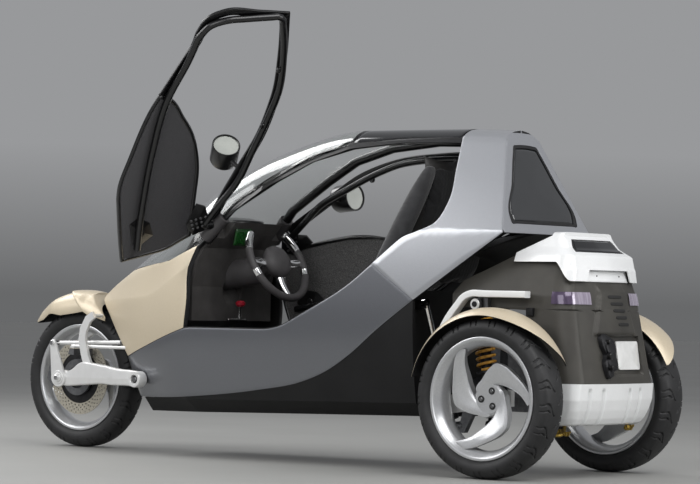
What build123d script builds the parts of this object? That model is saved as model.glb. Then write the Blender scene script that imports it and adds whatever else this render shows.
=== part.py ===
from build123d import *
from math import atan2, cos, degrees, hypot, radians, sin, tan
import os

# Tilting three wheeled car. Millimetres, +X forward, +Y left, +Z up.
# Everything is drawn from the floor up, with X = 0 on the rear axle, and is
# lowered by PAD_HEIGHT when saved, so that the origin is the jacking pad.

# Wheels
WHEELBASE = 2400
REAR_TRACK = 860
WHEEL_RADIUS = 300
REAR_TYRE_WIDTH = 140
FRONT_TYRE_WIDTH = 120
BEAD_RADIUS = 216
REAR_LIP_RADIUS = 232
FRONT_LIP_RADIUS = 229
BEAD_GAP = 0.3
RIM_INSET = 18
PAD_HEIGHT = 190

# Lean joint: an axis that rises to the rear
LEAN_FRONT_X = 2400
LEAN_FRONT_Z = 60
LEAN_REAR_X = 450
LEAN_REAR_Z = 300
LEAN_SHAFT_RADIUS = 28
LEAN_HOUSING_RADIUS = 52
LEAN_HOUSING_X = (215, 345)
LEAN_SHAFT_END_X = 232
FLANGE_RADIUS = 70
FLANGE_THICKNESS = 12
RUNNING_GAP = 0.05

# Cabin walls and openings
WALL = 16
GLASS = 6
RAIL_RADIUS = 20
DOOR_GAP = 6
DOOR_SKIN = 18
SEAT_FIT = 0.3
SEAM = 1.0
DOOR_TUBE_RADIUS = 14
STRIP_WIDTH = 30
HINGE_SLEEVE_RADIUS = 30
HINGE_SLEEVE_SPAN = (-70, 52)
HINGE_ARM_RADIUS = 20
MIRROR_RADIUS = 55
MIRROR_STALK_RADIUS = 9

# Door hinge, along the lower windscreen pillar, for the left door
HINGE_X = 1518
HINGE_Y = 217
HINGE_Z = 950
HINGE_AXIS = (-0.691, -0.143, 0.709)
DOOR_OPEN = 90

# Cross-sections of the cabin's outer form, front to back. Columns: place along X, then
# half width and height of floor edge, sill, bulge, belt and rail, then height of the crown.
SECTIONS = (
    (-60, 210, 220, 296, 270, 326, 560, 306, 930, 108, 1280, 1316),
    (420, 210, 213, 300, 265, 334, 560, 312, 930, 121, 1300, 1340),
    (900, 210, 202, 300, 255, 336, 560, 315, 930, 137, 1285, 1342),
    (1300, 210, 192, 298, 245, 336, 540, 308, 880, 180, 1130, 1256),
    (1600, 200, 184, 280, 238, 322, 520, 288, 780, 238, 880, 1112),
    (1900, 140, 178, 192, 234, 232, 440, 222, 650, 176, 772, 897),
    (2290, 30, 520, 40, 545, 52, 590, 46, 630, 24, 650, 664),
)

# Windscreen pillar and roof rail of the left side: X, Y, Z of the tube's bends
RAIL = (
    (1640, 242, 825),
    (1442, 201, 1028),
    (1240, 176, 1146),
    (1075, 152, 1228),
    (880, 134, 1278),
    (640, 122, 1300),
    (305, 114, 1292),
)


def lean_z(x):
    return LEAN_FRONT_Z + (LEAN_FRONT_X - x) * (LEAN_REAR_Z - LEAN_FRONT_Z) / (LEAN_FRONT_X - LEAN_REAR_X)


LEAN_ANGLE = degrees(atan2(LEAN_REAR_Z - LEAN_FRONT_Z, LEAN_FRONT_X - LEAN_REAR_X))


def save(name, *shapes):
    """Lower the solids to the part's own frame and write them as one node."""
    solids = [s for shape in shapes for s in shape.solids()]
    group = solids[0] if len(solids) == 1 else Compound(children=solids)
    export_step(Pos(0, 0, -PAD_HEIGHT) * group, f"parts/{name}.step")


def face_of(points, plane, radius=0):
    """A flat face from points on a plane, with its corners rounded where a radius is given."""
    line = Polyline(*points, close=True) if radius == 0 else FilletPolyline(*points, radius=radius,
                                                                            close=True)
    return make_face(plane * line)


def side_prism(points, y_low, y_high, radius=0):
    """An outline of (X, Z) points drawn out along Y."""
    plane = Plane(origin=(0, y_high, 0), x_dir=(1, 0, 0), z_dir=(0, -1, 0))
    return extrude(face_of(points, plane, radius), y_high - y_low, dir=(0, -1, 0))


def seam_prism(points, y_low, y_high):
    """A side outline drawn in by half a seam all round, so that neighbours part by a seam."""
    inside = offset(face_of(points, Plane.XZ), -SEAM / 2)
    return Pos(0, y_high, 0) * extrude(inside, y_high - y_low, dir=(0, -1, 0))


def rear_prism(points, x_low, x_high, radius=0):
    """An outline of (Y, Z) points drawn out along X."""
    plane = Plane(origin=(x_low, 0, 0), x_dir=(0, 1, 0), z_dir=(1, 0, 0))
    return extrude(face_of(points, plane, radius), x_high - x_low, dir=(1, 0, 0))


def plan_prism(points, z_low, z_high, radius=0):
    """An outline of (X, Y) points drawn out along Z."""
    return extrude(face_of(points, Plane.XY.offset(z_low), radius), z_high - z_low, dir=(0, 0, 1))


def block(x, y, z):
    """A box between low and high values of X, Y and Z."""
    size = (x[1] - x[0], y[1] - y[0], z[1] - z[0])
    centre = ((x[0] + x[1]) / 2, (y[0] + y[1]) / 2, (z[0] + z[1]) / 2)
    return Pos(*centre) * Box(*size)


def rod(start, end, radius):
    """A round bar between two points."""
    axis = Vector(*end) - Vector(*start)
    return extrude(Plane(origin=start, z_dir=axis) * Circle(radius), axis.length)


def tube(points, radius, bend):
    """A round bar along a bent path."""
    path = FilletPolyline(*points, radius=bend)
    return sweep(Plane(origin=path @ 0, z_dir=path % 0) * Circle(radius), path=path)


def sector(points, centre, start=0, end=360):
    """A profile of (radius, Y) points turned about an axle along Y, from one angle above +X to another."""
    face = make_face(Plane.XY * Polyline(*points, close=True))
    turned = revolve(face, Axis((0, 0, 0), (0, -1, 0)), end - start)
    return Pos(*centre) * Rotation(0, -start, 0) * turned


def flank(x, z, inset):
    """Half width of the cabin's outer form at X and Z, less an inset."""
    rows = sorted(SECTIONS)
    after = next(i for i, row in enumerate(rows) if row[0] >= x)
    share = (x - rows[after - 1][0]) / (rows[after][0] - rows[after - 1][0])
    row = [a + (b - a) * share for a, b in zip(rows[after - 1], rows[after])]
    levels = [(row[i + 1], row[i]) for i in (3, 5, 7, 9)]
    for (z_low, w_low), (z_high, w_high) in zip(levels, levels[1:]):
        if z <= z_high or z_high == levels[-1][0]:
            lean = atan2(w_low - w_high, z_high - z_low)
            return w_low + (w_high - w_low) * (z - z_low) / (z_high - z_low) - inset / cos(lean)


def mirrored(shape):
    return mirror(shape, Plane.XZ)


def both_sides(shape):
    return [shape, mirrored(shape)]


def section_face(row, inset):
    """One cross-section of the cabin: flat floor and upper flanks, arched sides and roof."""
    x, floor_w, floor_z, sill_w, sill_z, bulge_w, bulge_z, belt_w, belt_z, rail_w, rail_z, crown_z = row
    left = [(floor_w - inset, floor_z + inset), (sill_w - inset, sill_z + inset / 2),
            (bulge_w - inset, bulge_z),
            (belt_w - inset, belt_z), (rail_w - inset, rail_z - inset), (0, crown_z - inset)]
    right = [(-w, z) for w, z in left]
    edges = [Line(right[0], left[0]), Line(left[0], left[1]), ThreePointArc(left[1], left[2], left[3]),
             Line(left[3], left[4]), ThreePointArc(left[4], left[5], right[4]), Line(right[4], right[3]),
             ThreePointArc(right[3], right[2], right[1]), Line(right[1], right[0])]
    plane = Plane(origin=(x, 0, 0), x_dir=(0, 1, 0), z_dir=(1, 0, 0))
    return make_face(plane * Wire(edges))


def cabin_form(inset):
    """The cabin's outer form, lofted through its sections and drawn in by an inset."""
    return loft([section_face(row, inset) for row in SECTIONS], ruled=True)


# Side outlines, as (X, Z)
TAIL_LOW = (37, 926)
TAIL_TOP = (176, 1345)
SHELL_FRONT_LOW = (430, 663)
OPENING = ((372, 1380), (330, 1040), (360, 966), (430, 930), (547, 872), (737, 724), (960, 604), (1106, 540),
           (1545, 532), (1582, 640), (1600, 780), (1560, 905), (1518, 950), (1518, 1380))
SILVER_LOWER = ((430, 663), (600, 545), (745, 437), (849, 377), (997, 324), (1200, 289), (1511, 254),
                (1850, 236))
SILVER = SILVER_LOWER + ((1935, 236), (2010, 402), (1590, 529), (1545, 532), (1106, 540), (960, 604),
                         (737, 724),
                         (640, 800))
NOSE = ((2010, 402), (1590, 529), (1582, 640), (1600, 780), (1590, 868), (1760, 806), (2126, 758),
        (2264, 668), (2270, 645), (2185, 573))
TUB = SILVER_LOWER + ((1905, 236), (1905, 100), (430, 100))
ARM_PIVOT = (1890, 250, 309)
ARM_PIVOT_RADIUS = 20
LINK_Y = 168
LINK_Z = 436
LINK_RADIUS = 7
GLASS_EDGE = ((2126, 758), (1760, 806), (1590, 868), (1518, 950), (1442, 1028), (1240, 1146), (1075, 1228),
              (880, 1278))
DOOR_FACE = ((400, 1266), (330, 1040), (360, 966), (430, 930), (547, 872), (737, 724), (960, 604),
             (1106, 540),
             (1545, 532), (1582, 640), (1600, 780), (1560, 905), (1500, 962), (1400, 1018), (1240, 1105),
             (1075, 1187), (880, 1240), (640, 1262))
BELT = ((640, 740), (700, 786), (747, 813), (873, 858), (1048, 903), (1185, 930), (1463, 942), (1640, 950),
        (1640, 400), (640, 400))
BULKHEAD_X = 476
BULKHEAD = 14

outer = cabin_form(0)
inner = cabin_form(WALL)
shell = outer - inner
opening_cut = side_prism(OPENING, -500, 500)
hinge_axis = Axis((HINGE_X, HINGE_Y, HINGE_Z), HINGE_AXIS)


def on_hinge(distance):
    """A point along the left hinge line, upwards from its middle."""
    point = Vector(HINGE_X, HINGE_Y, HINGE_Z) + Vector(*HINGE_AXIS) * distance
    return (point.X, point.Y, point.Z)


hinge_room = rod(on_hinge(HINGE_SLEEVE_SPAN[0] - 10), on_hinge(HINGE_SLEEVE_SPAN[1] + 10),
                 HINGE_SLEEVE_RADIUS + DOOR_GAP)
hinge_rooms = hinge_room + mirrored(hinge_room)
rail = tube(RAIL, RAIL_RADIUS, 90)
rail_cut = tube(RAIL, RAIL_RADIUS + SEAT_FIT, 90)
rail_cuts = rail_cut + mirrored(rail_cut) + hinge_rooms


# Lean envelope: the room that the rear module keeps under the leaning tail. Columns: X, radius.
ENVELOPE = ((-120, 572), (120, 572), (200, 560), (330, 535), (410, 505), (462, 470))
LINER = 10


def envelope(extra):
    rim = [(x, r + extra) for x, r in ENVELOPE]
    end_x = rim[-1][0] + extra
    outline = [(rim[0][0], 0)] + rim[:-1] + [(end_x, rim[-1][1]), (end_x, 0)]
    slope = -tan(radians(LEAN_ANGLE))
    plane = Plane(origin=(0, 0, lean_z(0)), x_dir=(1, 0, slope), z_dir=(0, -1, 0))
    return revolve(face_of(outline, plane), Axis((0, 0, lean_z(0)), (1, 0, slope)))


HOOP_X = 322
HOOP_RADIUS = 16
HOOP = ((HOOP_X, 262, 700), (HOOP_X, 268, 930), (HOOP_X, 114, 1284))


def cabin_panels():
    """Outer panels, split where the real ones meet."""
    pivot_hole = rod((ARM_PIVOT[0], 0, ARM_PIVOT[2]), (ARM_PIVOT[0], 400, ARM_PIVOT[2]),
                     ARM_PIVOT_RADIUS + 3)
    side = (shell & seam_prism(SILVER, 0, 500)) - opening_cut - pivot_hole
    save("side_panels", *both_sides(side))
    nose = (outer - cabin_form(WALL / 2)) & seam_prism(NOSE, -500, 500)
    link_hole = rod((1900, LINK_Y, LINK_Z), (2200, LINK_Y, LINK_Z), LINK_RADIUS + DOOR_GAP)
    save("nose_panel", nose - opening_cut - rail_cuts - link_hole)
    rear_face_in = side_prism(((TAIL_LOW[0] + WALL, 700), (TAIL_LOW[0] + WALL, TAIL_LOW[1]),
                               (TAIL_TOP[0] + WALL, TAIL_TOP[1]), (-200, 1345), (-200, 700)), -500, 500)
    hollow = inner - rear_face_in
    region = seam_prism((TAIL_LOW, TAIL_TOP, (372, 1380), (500, 1380), (640, 800), SHELL_FRONT_LOW), -500,
                        500)
    window = rear_prism(((-229, 967), (229, 967), (82, 1264), (-82, 1264)), -100, 250, 24)
    rear = ((outer - hollow) & region) - opening_cut - envelope(0) - window - rail_cuts
    hoop_cut = tube(HOOP, HOOP_RADIUS + SEAT_FIT, 60)
    rear = rear - hoop_cut - mirrored(hoop_cut) - rod((HOOP_X, -114, 1272), (HOOP_X, 114, 1272),
                                                      HOOP_RADIUS - 3)
    save("rear_shell", rear.solids().sort_by(SortBy.VOLUME)[-1])
    pane = side_prism(((TAIL_LOW[0] + GLASS, TAIL_LOW[1]), (TAIL_TOP[0] + GLASS, TAIL_TOP[1]),
                       (TAIL_TOP[0] + 2 * GLASS, TAIL_TOP[1]), (TAIL_LOW[0] + 2 * GLASS, TAIL_LOW[1])), -300,
                       300)
    save("rear_window", pane & window)
    liner = (envelope(LINER) - envelope(0)) & hollow & side_prism(((45, 926), (430, 690), (BULKHEAD_X, 690),
                                                                  (BULKHEAD_X, 1100), (45, 1100)), -500, 500)
    save("tail_liner", liner - opening_cut)


# Tilt cylinders: they lie in a plane square to the lean axis. Y and height above the axis.
CYLINDER_X = 388
CYLINDER_TOP = (250, 344)
CYLINDER_FOOT = (120, -134)
BARREL_RADIUS = 24
BARREL_LENGTH = 285
PISTON_RADIUS = 12
EYE_RADIUS = 20
EYE_WIDTH = 16
EYE_PIN_RADIUS = 8


def lean_point(y, height, forward=0):
    """A point in the cylinders' plane, or ahead of it along the lean axis."""
    slope = radians(LEAN_ANGLE)
    x = CYLINDER_X + height * sin(slope) + forward * cos(slope)
    z = lean_z(CYLINDER_X) + height * cos(slope) - forward * sin(slope)
    return (x, y, z)


def cylinder_bracket(side):
    """Arm from the rear bulkhead to just ahead of the cylinder rod's eye."""
    y, height = side * CYLINDER_TOP[0], CYLINDER_TOP[1]
    face = PISTON_RADIUS + 1
    plate = rod(lean_point(y, height, face), lean_point(y, height, face + 60), EYE_RADIUS)
    return plate & block((380, BULKHEAD_X + 4), (-400, 400), (560, 700))


def cabin_tub():
    """Black tub with its floor, bulkheads and the lean shaft."""
    tub = shell & seam_prism(TUB, -500, 500)
    rear_wall = cabin_form(WALL + SEAM) & block((BULKHEAD_X, BULKHEAD_X + BULKHEAD), (-400, 400), (215, 700))
    rear_foot = block((BULKHEAD_X, BULKHEAD_X + BULKHEAD), (-190, 190), (205, 235))
    front_wall = cabin_form(WALL + SEAM) & block((1846, 1860), (-300, 300), (190, 520))
    front_foot = block((1846, 1860), (-110, 110), (186, 200))
    axis_x = cos(radians(LEAN_ANGLE))
    shaft = rod((BULKHEAD_X + BULKHEAD, 0, lean_z(BULKHEAD_X + BULKHEAD)),
                (LEAN_SHAFT_END_X, 0, lean_z(LEAN_SHAFT_END_X)),
                LEAN_SHAFT_RADIUS)
    flange_rear = BULKHEAD_X - FLANGE_THICKNESS * axis_x
    flange_front = BULKHEAD_X + 2
    flange = rod((flange_front, 0, lean_z(flange_front)), (flange_rear, 0, lean_z(flange_rear)),
                 FLANGE_RADIUS)
    reach = ARM_PIVOT[1] + 8
    pivot_tube = rod((ARM_PIVOT[0], -reach, ARM_PIVOT[2]), (ARM_PIVOT[0], reach, ARM_PIVOT[2]),
                     ARM_PIVOT_RADIUS)
    gusset = block((1858, ARM_PIVOT[0] + 10), (-130, 130), (268, 350))
    tub = tub + rear_wall + rear_foot + front_wall + front_foot + shaft + flange + pivot_tube + gusset
    for side in (-1, 1):
        tub = tub + cylinder_bracket(side)
    tub = tub - rod((1800, LINK_Y, LINK_Z), (1900, LINK_Y, LINK_Z), LINK_RADIUS + RUNNING_GAP)
    save("belly_tub", tub)


def pillar_frame():
    """Windscreen pillars and roof rails, with the hoop behind the doors."""
    bow = rod((HOOP_X, -112, 1272), (HOOP_X, 112, 1272), HOOP_RADIUS - 4)
    hoop = tube(HOOP, HOOP_RADIUS, 60)
    frame = rail + mirrored(rail) + hoop + mirrored(hoop) + bow
    save("pillar_frame", (frame & cabin_form(0.5)) - envelope(LINER))


def glazing():
    """Windscreen and roof panel between the pillars."""
    skin = outer - cabin_form(GLASS)
    screen = (skin & side_prism(GLASS_EDGE + ((880, 1400), (2300, 1400), (2300, 690)), -260,
                                260)) - rail_cuts
    save("windscreen", screen.solids().sort_by(SortBy.VOLUME)[-1])
    roof = (skin & side_prism(((372, 1280), (880, 1278), (880, 1400), (372, 1400)), -260, 260)) - rail_cuts
    save("roof_panel", roof.solids().sort_by(SortBy.VOLUME)[-1])


# Steering column, leaning back to the driver
STEER_X = 1364
STEER_Z = 808
COLUMN_TILT = 27
COLUMN_RADIUS = 24
RIM_RADIUS = 168
RIM_THICKNESS = 30
RIM_GAP = 76
STEER_HUB_RADIUS = 62
COLUMN_COVER_RADIUS = 62


def on_column(distance):
    """A point on the steering column's axis, ahead of the steering wheel's centre."""
    tilt = radians(COLUMN_TILT)
    return (STEER_X + distance * cos(tilt), 0, STEER_Z - distance * sin(tilt))


def cabin_inside():
    """Dashboard, column cover and two seats."""
    dash = side_prism(((1730, 560), (1720, 790), (1640, 905), (1540, 968), (1462, 966), (1500, 920),
                       (1560, 860),
                       (1600, 700), (1600, 560)), -260, 260)
    dash = (dash & cabin_form(WALL + SEAT_FIT)) - rail_cuts
    column = rod(on_column(290), on_column(95), COLUMN_COVER_RADIUS)
    column = column - rod(on_column(60), on_column(160), COLUMN_RADIUS + RUNNING_GAP)
    for side in (-1, 1):
        dash = dash - block((1440, 1520), (side * 215 - 60, side * 215 + 60), (885, 1000))
    save("dashboard", dash.solids().sort_by(SortBy.VOLUME)[-1] - column)
    save("column_cover", column)
    back = side_prism(((1290, 470), (1270, 420), (900, 390), (840, 420), (505, 1180), (525, 1222),
                       (575, 1215),
                       (880, 560), (960, 500), (1260, 500)), -190, 190, 12)
    plan = rear_prism(((-190, 380), (-196, 700), (-170, 980), (-96, 1180), (-66, 1222), (66, 1222),
                       (96, 1180),
                       (170, 980), (196, 700), (190, 380)), 400, 1400, 24)
    foot = block((900, 1180), (-120, 120), (205, 400))
    front = (back & plan) + (foot & inner)
    rear_back = side_prism(((500, 560), (440, 880), (352, 1130), (374, 1150), (480, 940), (560, 640),
                            (700, 610),
                            (700, 540)), -140, 140, 10)
    rear_seat = (rear_back & cabin_form(WALL + 4)) - envelope(LINER + SEAT_FIT)
    stand = block((505, 680), (-120, 120), (230, 560)) & inner
    save("seats", front, (rear_seat.solids().sort_by(SortBy.VOLUME)[-1] + stand))


def doors():
    """Both doors: tube ring with its strip and hinge, panel, and cup mirror. The left one stands open."""
    face = face_of(DOOR_FACE, Plane.XZ)
    edge = offset(face, -DOOR_GAP)
    inside = offset(face, -DOOR_GAP - STRIP_WIDTH)
    slab = Pos(0, 500, 0) * extrude(edge, 500, dir=(0, -1, 0))
    window = Pos(0, 500, 0) * extrude(inside, 500, dir=(0, -1, 0))
    below_belt = side_prism(BELT, 0, 500)
    skin = (outer - cabin_form(DOOR_SKIN / 2)) - tube(RAIL, RAIL_RADIUS + DOOR_GAP, 90)
    panel = skin & slab & below_belt
    strip = (skin & (slab - window)) - below_belt
    # Ring tube: X, Z and inset of its bends from the outer form
    ring = ((1492, 915, 22), (1400, 985, 20), (1309, 1052, 18), (1153, 1122, 18), (992, 1184, 18),
            (833, 1226, 18), (650, 1243, 20), (395, 1243, 24), (374, 1045, 24), (402, 982, 24),
            (462, 940, 24),
            (575, 882, 24), (716, 796, 24), (985, 712, 24), (1249, 657, 24), (1500, 615, 24))
    path = [(x, flank(x, z, inset), z) for x, z, inset in ring]
    hoop = tube(path, DOOR_TUBE_RADIUS, 22)
    sleeve_low, sleeve_high = HINGE_SLEEVE_SPAN
    sleeve_bore = rod(on_hinge(sleeve_low - 20), on_hinge(sleeve_high + 28), RAIL_RADIUS + SEAT_FIT)
    sleeve = rod(on_hinge(sleeve_low), on_hinge(sleeve_high), HINGE_SLEEVE_RADIUS) - sleeve_bore
    start = path[0]
    arm_bore = rod(on_hinge(sleeve_low - 20), on_hinge(sleeve_high + 28), RAIL_RADIUS + 2)
    arm = rod(on_hinge(0), (start[0], start[1] + 4, start[2] + 2), HINGE_ARM_RADIUS) - arm_bore
    frame = hoop + strip + sleeve + arm
    cup = rod((1206, 318, 1088), (1290, 326, 1080), MIRROR_RADIUS)
    stalk = rod((1250, 300, 1075), (1256, flank(1256, 1082, 18), 1082), MIRROR_STALK_RADIUS)
    frame = frame + stalk
    cup = cup - stalk
    for side, name in ((1, "left"), (-1, "right")):
        pieces = {"door_frame": frame, "door_panel": panel - hoop - arm - sleeve, "mirror": cup}
        for piece, shape in pieces.items():
            if side == 1:
                save(f"{piece}_{name}", shape.rotate(hinge_axis, -DOOR_OPEN))
            else:
                save(f"{piece}_{name}", mirrored(shape))


# Bent blade of a wheel, seen from the side: its corners as radius and angle from forwards towards up
BLADE = ((43, 6), (63, 81), (100, 98), (138, 107), (153, 144), (176, 161), (212, 176), (212, 180),
         (160, 168),
         (130, 155), (102, 135), (43, 126))
BLADE_END_RADIUS = 206
# How the blades lie across a rear wheel: radius and Y of the outer and inner face
REAR_DISH = ((20, 0), (45, 2), (138, 30), (BLADE_END_RADIUS, 50), (BLADE_END_RADIUS, 22), (138, 2),
             (45, -26),
             (20, -26))
FRONT_DISH = ((64, 14), (BLADE_END_RADIUS, 16), (BLADE_END_RADIUS, -8), (64, -14))
REAR_AXLE_RADIUS = 16
FRONT_BEARING_RADIUS = 60
DISC_RADIUS = 160


def blades(dish, first):
    """Three bent blades between the hub and the rim, cut from a dished ring."""
    corners = [(r * cos(radians(a)), r * sin(radians(a))) for r, a in BLADE]
    blade = side_prism(corners, -80, 80) & sector(dish, (0, 0, 0))
    return [Rotation(0, -(first + 120 * i), 0) * blade for i in range(3)]


def wheels():
    """Tyres and rims; each rim carries three bent blades, the front one a hub and brake disc too."""
    def tyre(width, lip):
        half = width / 2
        shoulder = WHEEL_RADIUS - 9
        wall_radius = (WHEEL_RADIUS + lip) / 2
        right = [(BEAD_RADIUS, half - RIM_INSET), (lip + 1, half - RIM_INSET), (lip + 7, half - 9),
                 (wall_radius, half), (shoulder - 8, half - 9), (shoulder, half - 18),
                 (WHEEL_RADIUS - 2, half * 0.45), (WHEEL_RADIUS, 0)]
        return right + [(r, -y) for r, y in reversed(right[:-1])]

    def rim(width, lip):
        edge = width / 2 - RIM_INSET + BEAD_GAP - 0.5
        seat = BEAD_RADIUS - BEAD_GAP
        right = [(lip, edge + 8), (lip, edge + 0.5), (seat, edge + 0.5), (seat, edge - 24),
                 (BEAD_RADIUS - 16, edge - 32)]
        left = [(r, -y) for r, y in reversed(right)]
        return right + left + [(lip - 6, -edge - 8), (BEAD_RADIUS - 7, -edge + 14),
                               (BEAD_RADIUS - 22, -edge + 32),
                               (BEAD_RADIUS - 22, edge - 32), (BEAD_RADIUS - 7, edge - 14),
                               (lip - 6, edge + 8)]

    for side, name in ((1, "left"), (-1, "right")):
        centre = (0, side * REAR_TRACK / 2, WHEEL_RADIUS)
        save(f"rear_tyre_{name}", sector(tyre(REAR_TYRE_WIDTH, REAR_LIP_RADIUS), centre))
        barrel = sector(rim(REAR_TYRE_WIDTH, REAR_LIP_RADIUS), (0, 0, 0))
        bore = REAR_AXLE_RADIUS + RUNNING_GAP
        wheel = barrel + sector([(bore, -62), (46, -62), (64, -30), (64, 2), (56, 8), (bore, 8)], (0, 0, 0))
        for blade in blades(REAR_DISH, 0):
            wheel = wheel + blade
        save(f"rear_rim_{name}", Pos(*centre) * (wheel if side == 1 else mirrored(wheel)))
    front = (WHEELBASE, 0, WHEEL_RADIUS)
    save("front_tyre", sector(tyre(FRONT_TYRE_WIDTH, FRONT_LIP_RADIUS), front))
    barrel = sector(rim(FRONT_TYRE_WIDTH, FRONT_LIP_RADIUS), (0, 0, 0))
    bore = FRONT_BEARING_RADIUS + RUNNING_GAP
    wheel = barrel + sector([(bore, -34), (86, -34), (86, 38), (DISC_RADIUS, 42), (DISC_RADIUS, 48),
                             (bore, 48)],
                            (0, 0, 0))
    for blade in blades(FRONT_DISH, 40):
        wheel = wheel + (blade - sector([(0, -60), (70, -60), (70, 60), (0, 60)], (0, 0, 0)))
    save("front_rim", Pos(*front) * wheel)


def front_end():
    """Double sided leading arm with its axle and kingpin, reaction rod, knuckle, link and fender."""
    centre = Vector(WHEELBASE, 0, WHEEL_RADIUS)
    arms = None
    for side in (1, -1):
        pivot = (ARM_PIVOT[0], side * ARM_PIVOT[1])
        hub = (WHEELBASE, side * 152)
        length = hypot(hub[0] - pivot[0], hub[1] - pivot[1])
        along = Vector(hub[0] - pivot[0], hub[1] - pivot[1], 0)
        plane = Plane(origin=(pivot[0], pivot[1], WHEEL_RADIUS), x_dir=along,
                      z_dir=Vector(along.Y, -along.X, 0))
        outline = ((-30, -26), (180, -34), (length, -36), (length + 34, 0), (length, 34), (430, 44),
                   (380, 66), (300, 66), (180, 42), (-30, 40))
        arm = extrude(plane * make_face(FilletPolyline(*outline, radius=10, close=True)), 16, both=True)
        near, far = side * (ARM_PIVOT[1] - 18), side * (ARM_PIVOT[1] + 22)
        boss = rod((ARM_PIVOT[0], near, ARM_PIVOT[2]), (ARM_PIVOT[0], far, ARM_PIVOT[2]), 40)
        bore = rod((ARM_PIVOT[0], side * 190, ARM_PIVOT[2]),
                   (ARM_PIVOT[0], side * (ARM_PIVOT[1] + 10), ARM_PIVOT[2]),
                   ARM_PIVOT_RADIUS + SEAT_FIT)
        arm = (arm + boss) - bore
        arms = arm if arms is None else arms + arm
    axle = rod((WHEELBASE, -150, WHEEL_RADIUS), (WHEELBASE, 150, WHEEL_RADIUS), 15)
    kingpin = rod((WHEELBASE, 0, WHEEL_RADIUS - 56), (WHEELBASE, 0, WHEEL_RADIUS + 56), 12)
    save("leading_arms", arms + axle + kingpin)
    ring = rod(tuple(centre + (0, -36, 0)), tuple(centre + (0, 66, 0)), FRONT_BEARING_RADIUS) - rod(
        tuple(centre + (0, -40, 0)), tuple(centre + (0, 70, 0)), 48)
    flange = rod(tuple(centre + (0, 54, 0)), tuple(centre + (0, 66, 0)), 78) - rod(
        tuple(centre + (0, 50, 0)), tuple(centre + (0, 70, 0)), 52)
    steering_arm = side_prism(((2352, 350), (2318, 398), (2318, 424), (2344, 424), (2388, 372)), 58, 66)
    reach = side_prism(((2318, 398), (2318, 424), (2344, 424), (2352, 400)), 58, 178)
    caliper = side_prism(((2470, 330), (2560, 345), (2572, 290), (2540, 258), (2470, 280)), 54, 66)
    knuckle = ring + flange + steering_arm + reach + caliper
    knuckle = knuckle - rod((WHEELBASE, 0, WHEEL_RADIUS - 70), (WHEELBASE, 0, WHEEL_RADIUS + 70),
                            12 + RUNNING_GAP)
    save("front_knuckle", knuckle)
    lever = side_prism(((2384, 290), (2420, 290), (2452, 440), (2442, 462), (2424, 458)), 172, 184)
    reaction = rod((2438, 141, 447), (2084, 141, 457), 9)
    pin = rod((2438, 135, 447), (2438, 190, 447), 10)
    save("reaction_rod", lever + reaction + pin)
    save("steering_link", rod((2331, LINK_Y, LINK_Z), (2331, LINK_Y, 429), 14)
         + rod((2338, LINK_Y, LINK_Z), (1790, LINK_Y, LINK_Z), LINK_RADIUS))
    blade = sector([(372, 0), (367, 50), (350, 80), (330, 90), (326, 87), (346, 77), (362, 49), (367, 0),
                    (362, -49),
                    (346, -77), (326, -87), (330, -90), (350, -80), (367, -50)], tuple(centre), 36, 100)
    tip = plan_prism(((2200, -120), (2500, -110), (2640, -60), (2700, -8), (2700, 8), (2640, 60),
                      (2500, 110),
                      (2200, 120)), 400, 800)
    saddle = sector([(378, 0), (374, 60), (352, 104), (316, 122), (312, 118), (347, 100), (368, 58),
                     (372 + SEAT_FIT, 0),
                     (368, -58), (347, -100), (312, -118), (316, -122), (352, -104), (374, -60)],
                     tuple(centre), 92, 130)
    saddle = saddle - side_prism(((2312, 657), (2195, 560), (2150, 500), (2000, 600), (2100, 800),
                                  (2312, 800)), -200, 200)
    save("front_fender", blade & tip, saddle)
    arm_top = WHEEL_RADIUS + 66 + SEAT_FIT
    bar = side_prism(((2205, 585), (2190, 560), (2216, 540), (2236, 500), (2240, 464), (2222, 401),
                      (2205, arm_top),
                      (2250, arm_top), (2262, 401), (2278, 464), (2270, 515), (2240, 565)), 182, 196)
    under = sector([(200, -130), (200, 130), (316 + SEAT_FIT, 122 + SEAT_FIT),
                    (352 + SEAT_FIT, 104 + SEAT_FIT),
                    (378, 60), (380, 0), (378, -60), (352 + SEAT_FIT, -104 - SEAT_FIT),
                    (316 + SEAT_FIT, -122 - SEAT_FIT)], tuple(centre), 80, 150)
    tab = rod((2218, 110, 568), (2218, 190, 568), 8) - under
    save("fender_bracket", bar + tab, mirrored(bar + tab))


def steering_wheel():
    """Rim open at the top, three spokes and hub, square to a column that leans back to the driver."""
    section = Plane.XZ * Pos(RIM_RADIUS, 0) * RegularPolygon(RIM_THICKNESS / 2, 8)
    rim = Rotation(0, 0, RIM_GAP / 2) * revolve(section, Axis.Z, 360 - RIM_GAP)
    wheel = rim + Cylinder(STEER_HUB_RADIUS, 44)
    for turn in (90, 180, 270):
        wheel = wheel + Rotation(0, 0, turn) * Pos(RIM_RADIUS - 58, 0, -4) * Box(116, 34, 12)
    wheel = Pos(STEER_X, 0, STEER_Z) * Rotation(0, -(90 - COLUMN_TILT), 0) * wheel
    save("steering_wheel", wheel + rod(on_column(10), on_column(150), COLUMN_RADIUS))


def cover_form(extra):
    """Outer form of the engine cover, grown by an amount all round."""
    side = offset(face_of(((-312, 362), (-60, 362), (-40, 640), (290, 640), (300, 690), (262, 742),
                           (-110, 918),
                           (-150, 912), (-236, 790), (-264, 690)), Plane.XZ), extra)
    rear = offset(face_of(((-288, 362), (-264, 690), (-226, 800), (-168, 918), (168, 918), (226, 800),
                           (264, 690),
                           (288, 362)), Plane.YZ), extra)
    plan = offset(face_of(((-314, -190), (-314, 190), (-250, 290), (310, 270), (310, -270), (-250, -290)),
                          Plane.XY), extra)
    form = extrude(side, 500, both=True) & extrude(rear, 500, both=True)
    return form & extrude(plan, 1200, both=True)


COVER_WALL = 8
COVER_FOOT = 362
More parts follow.
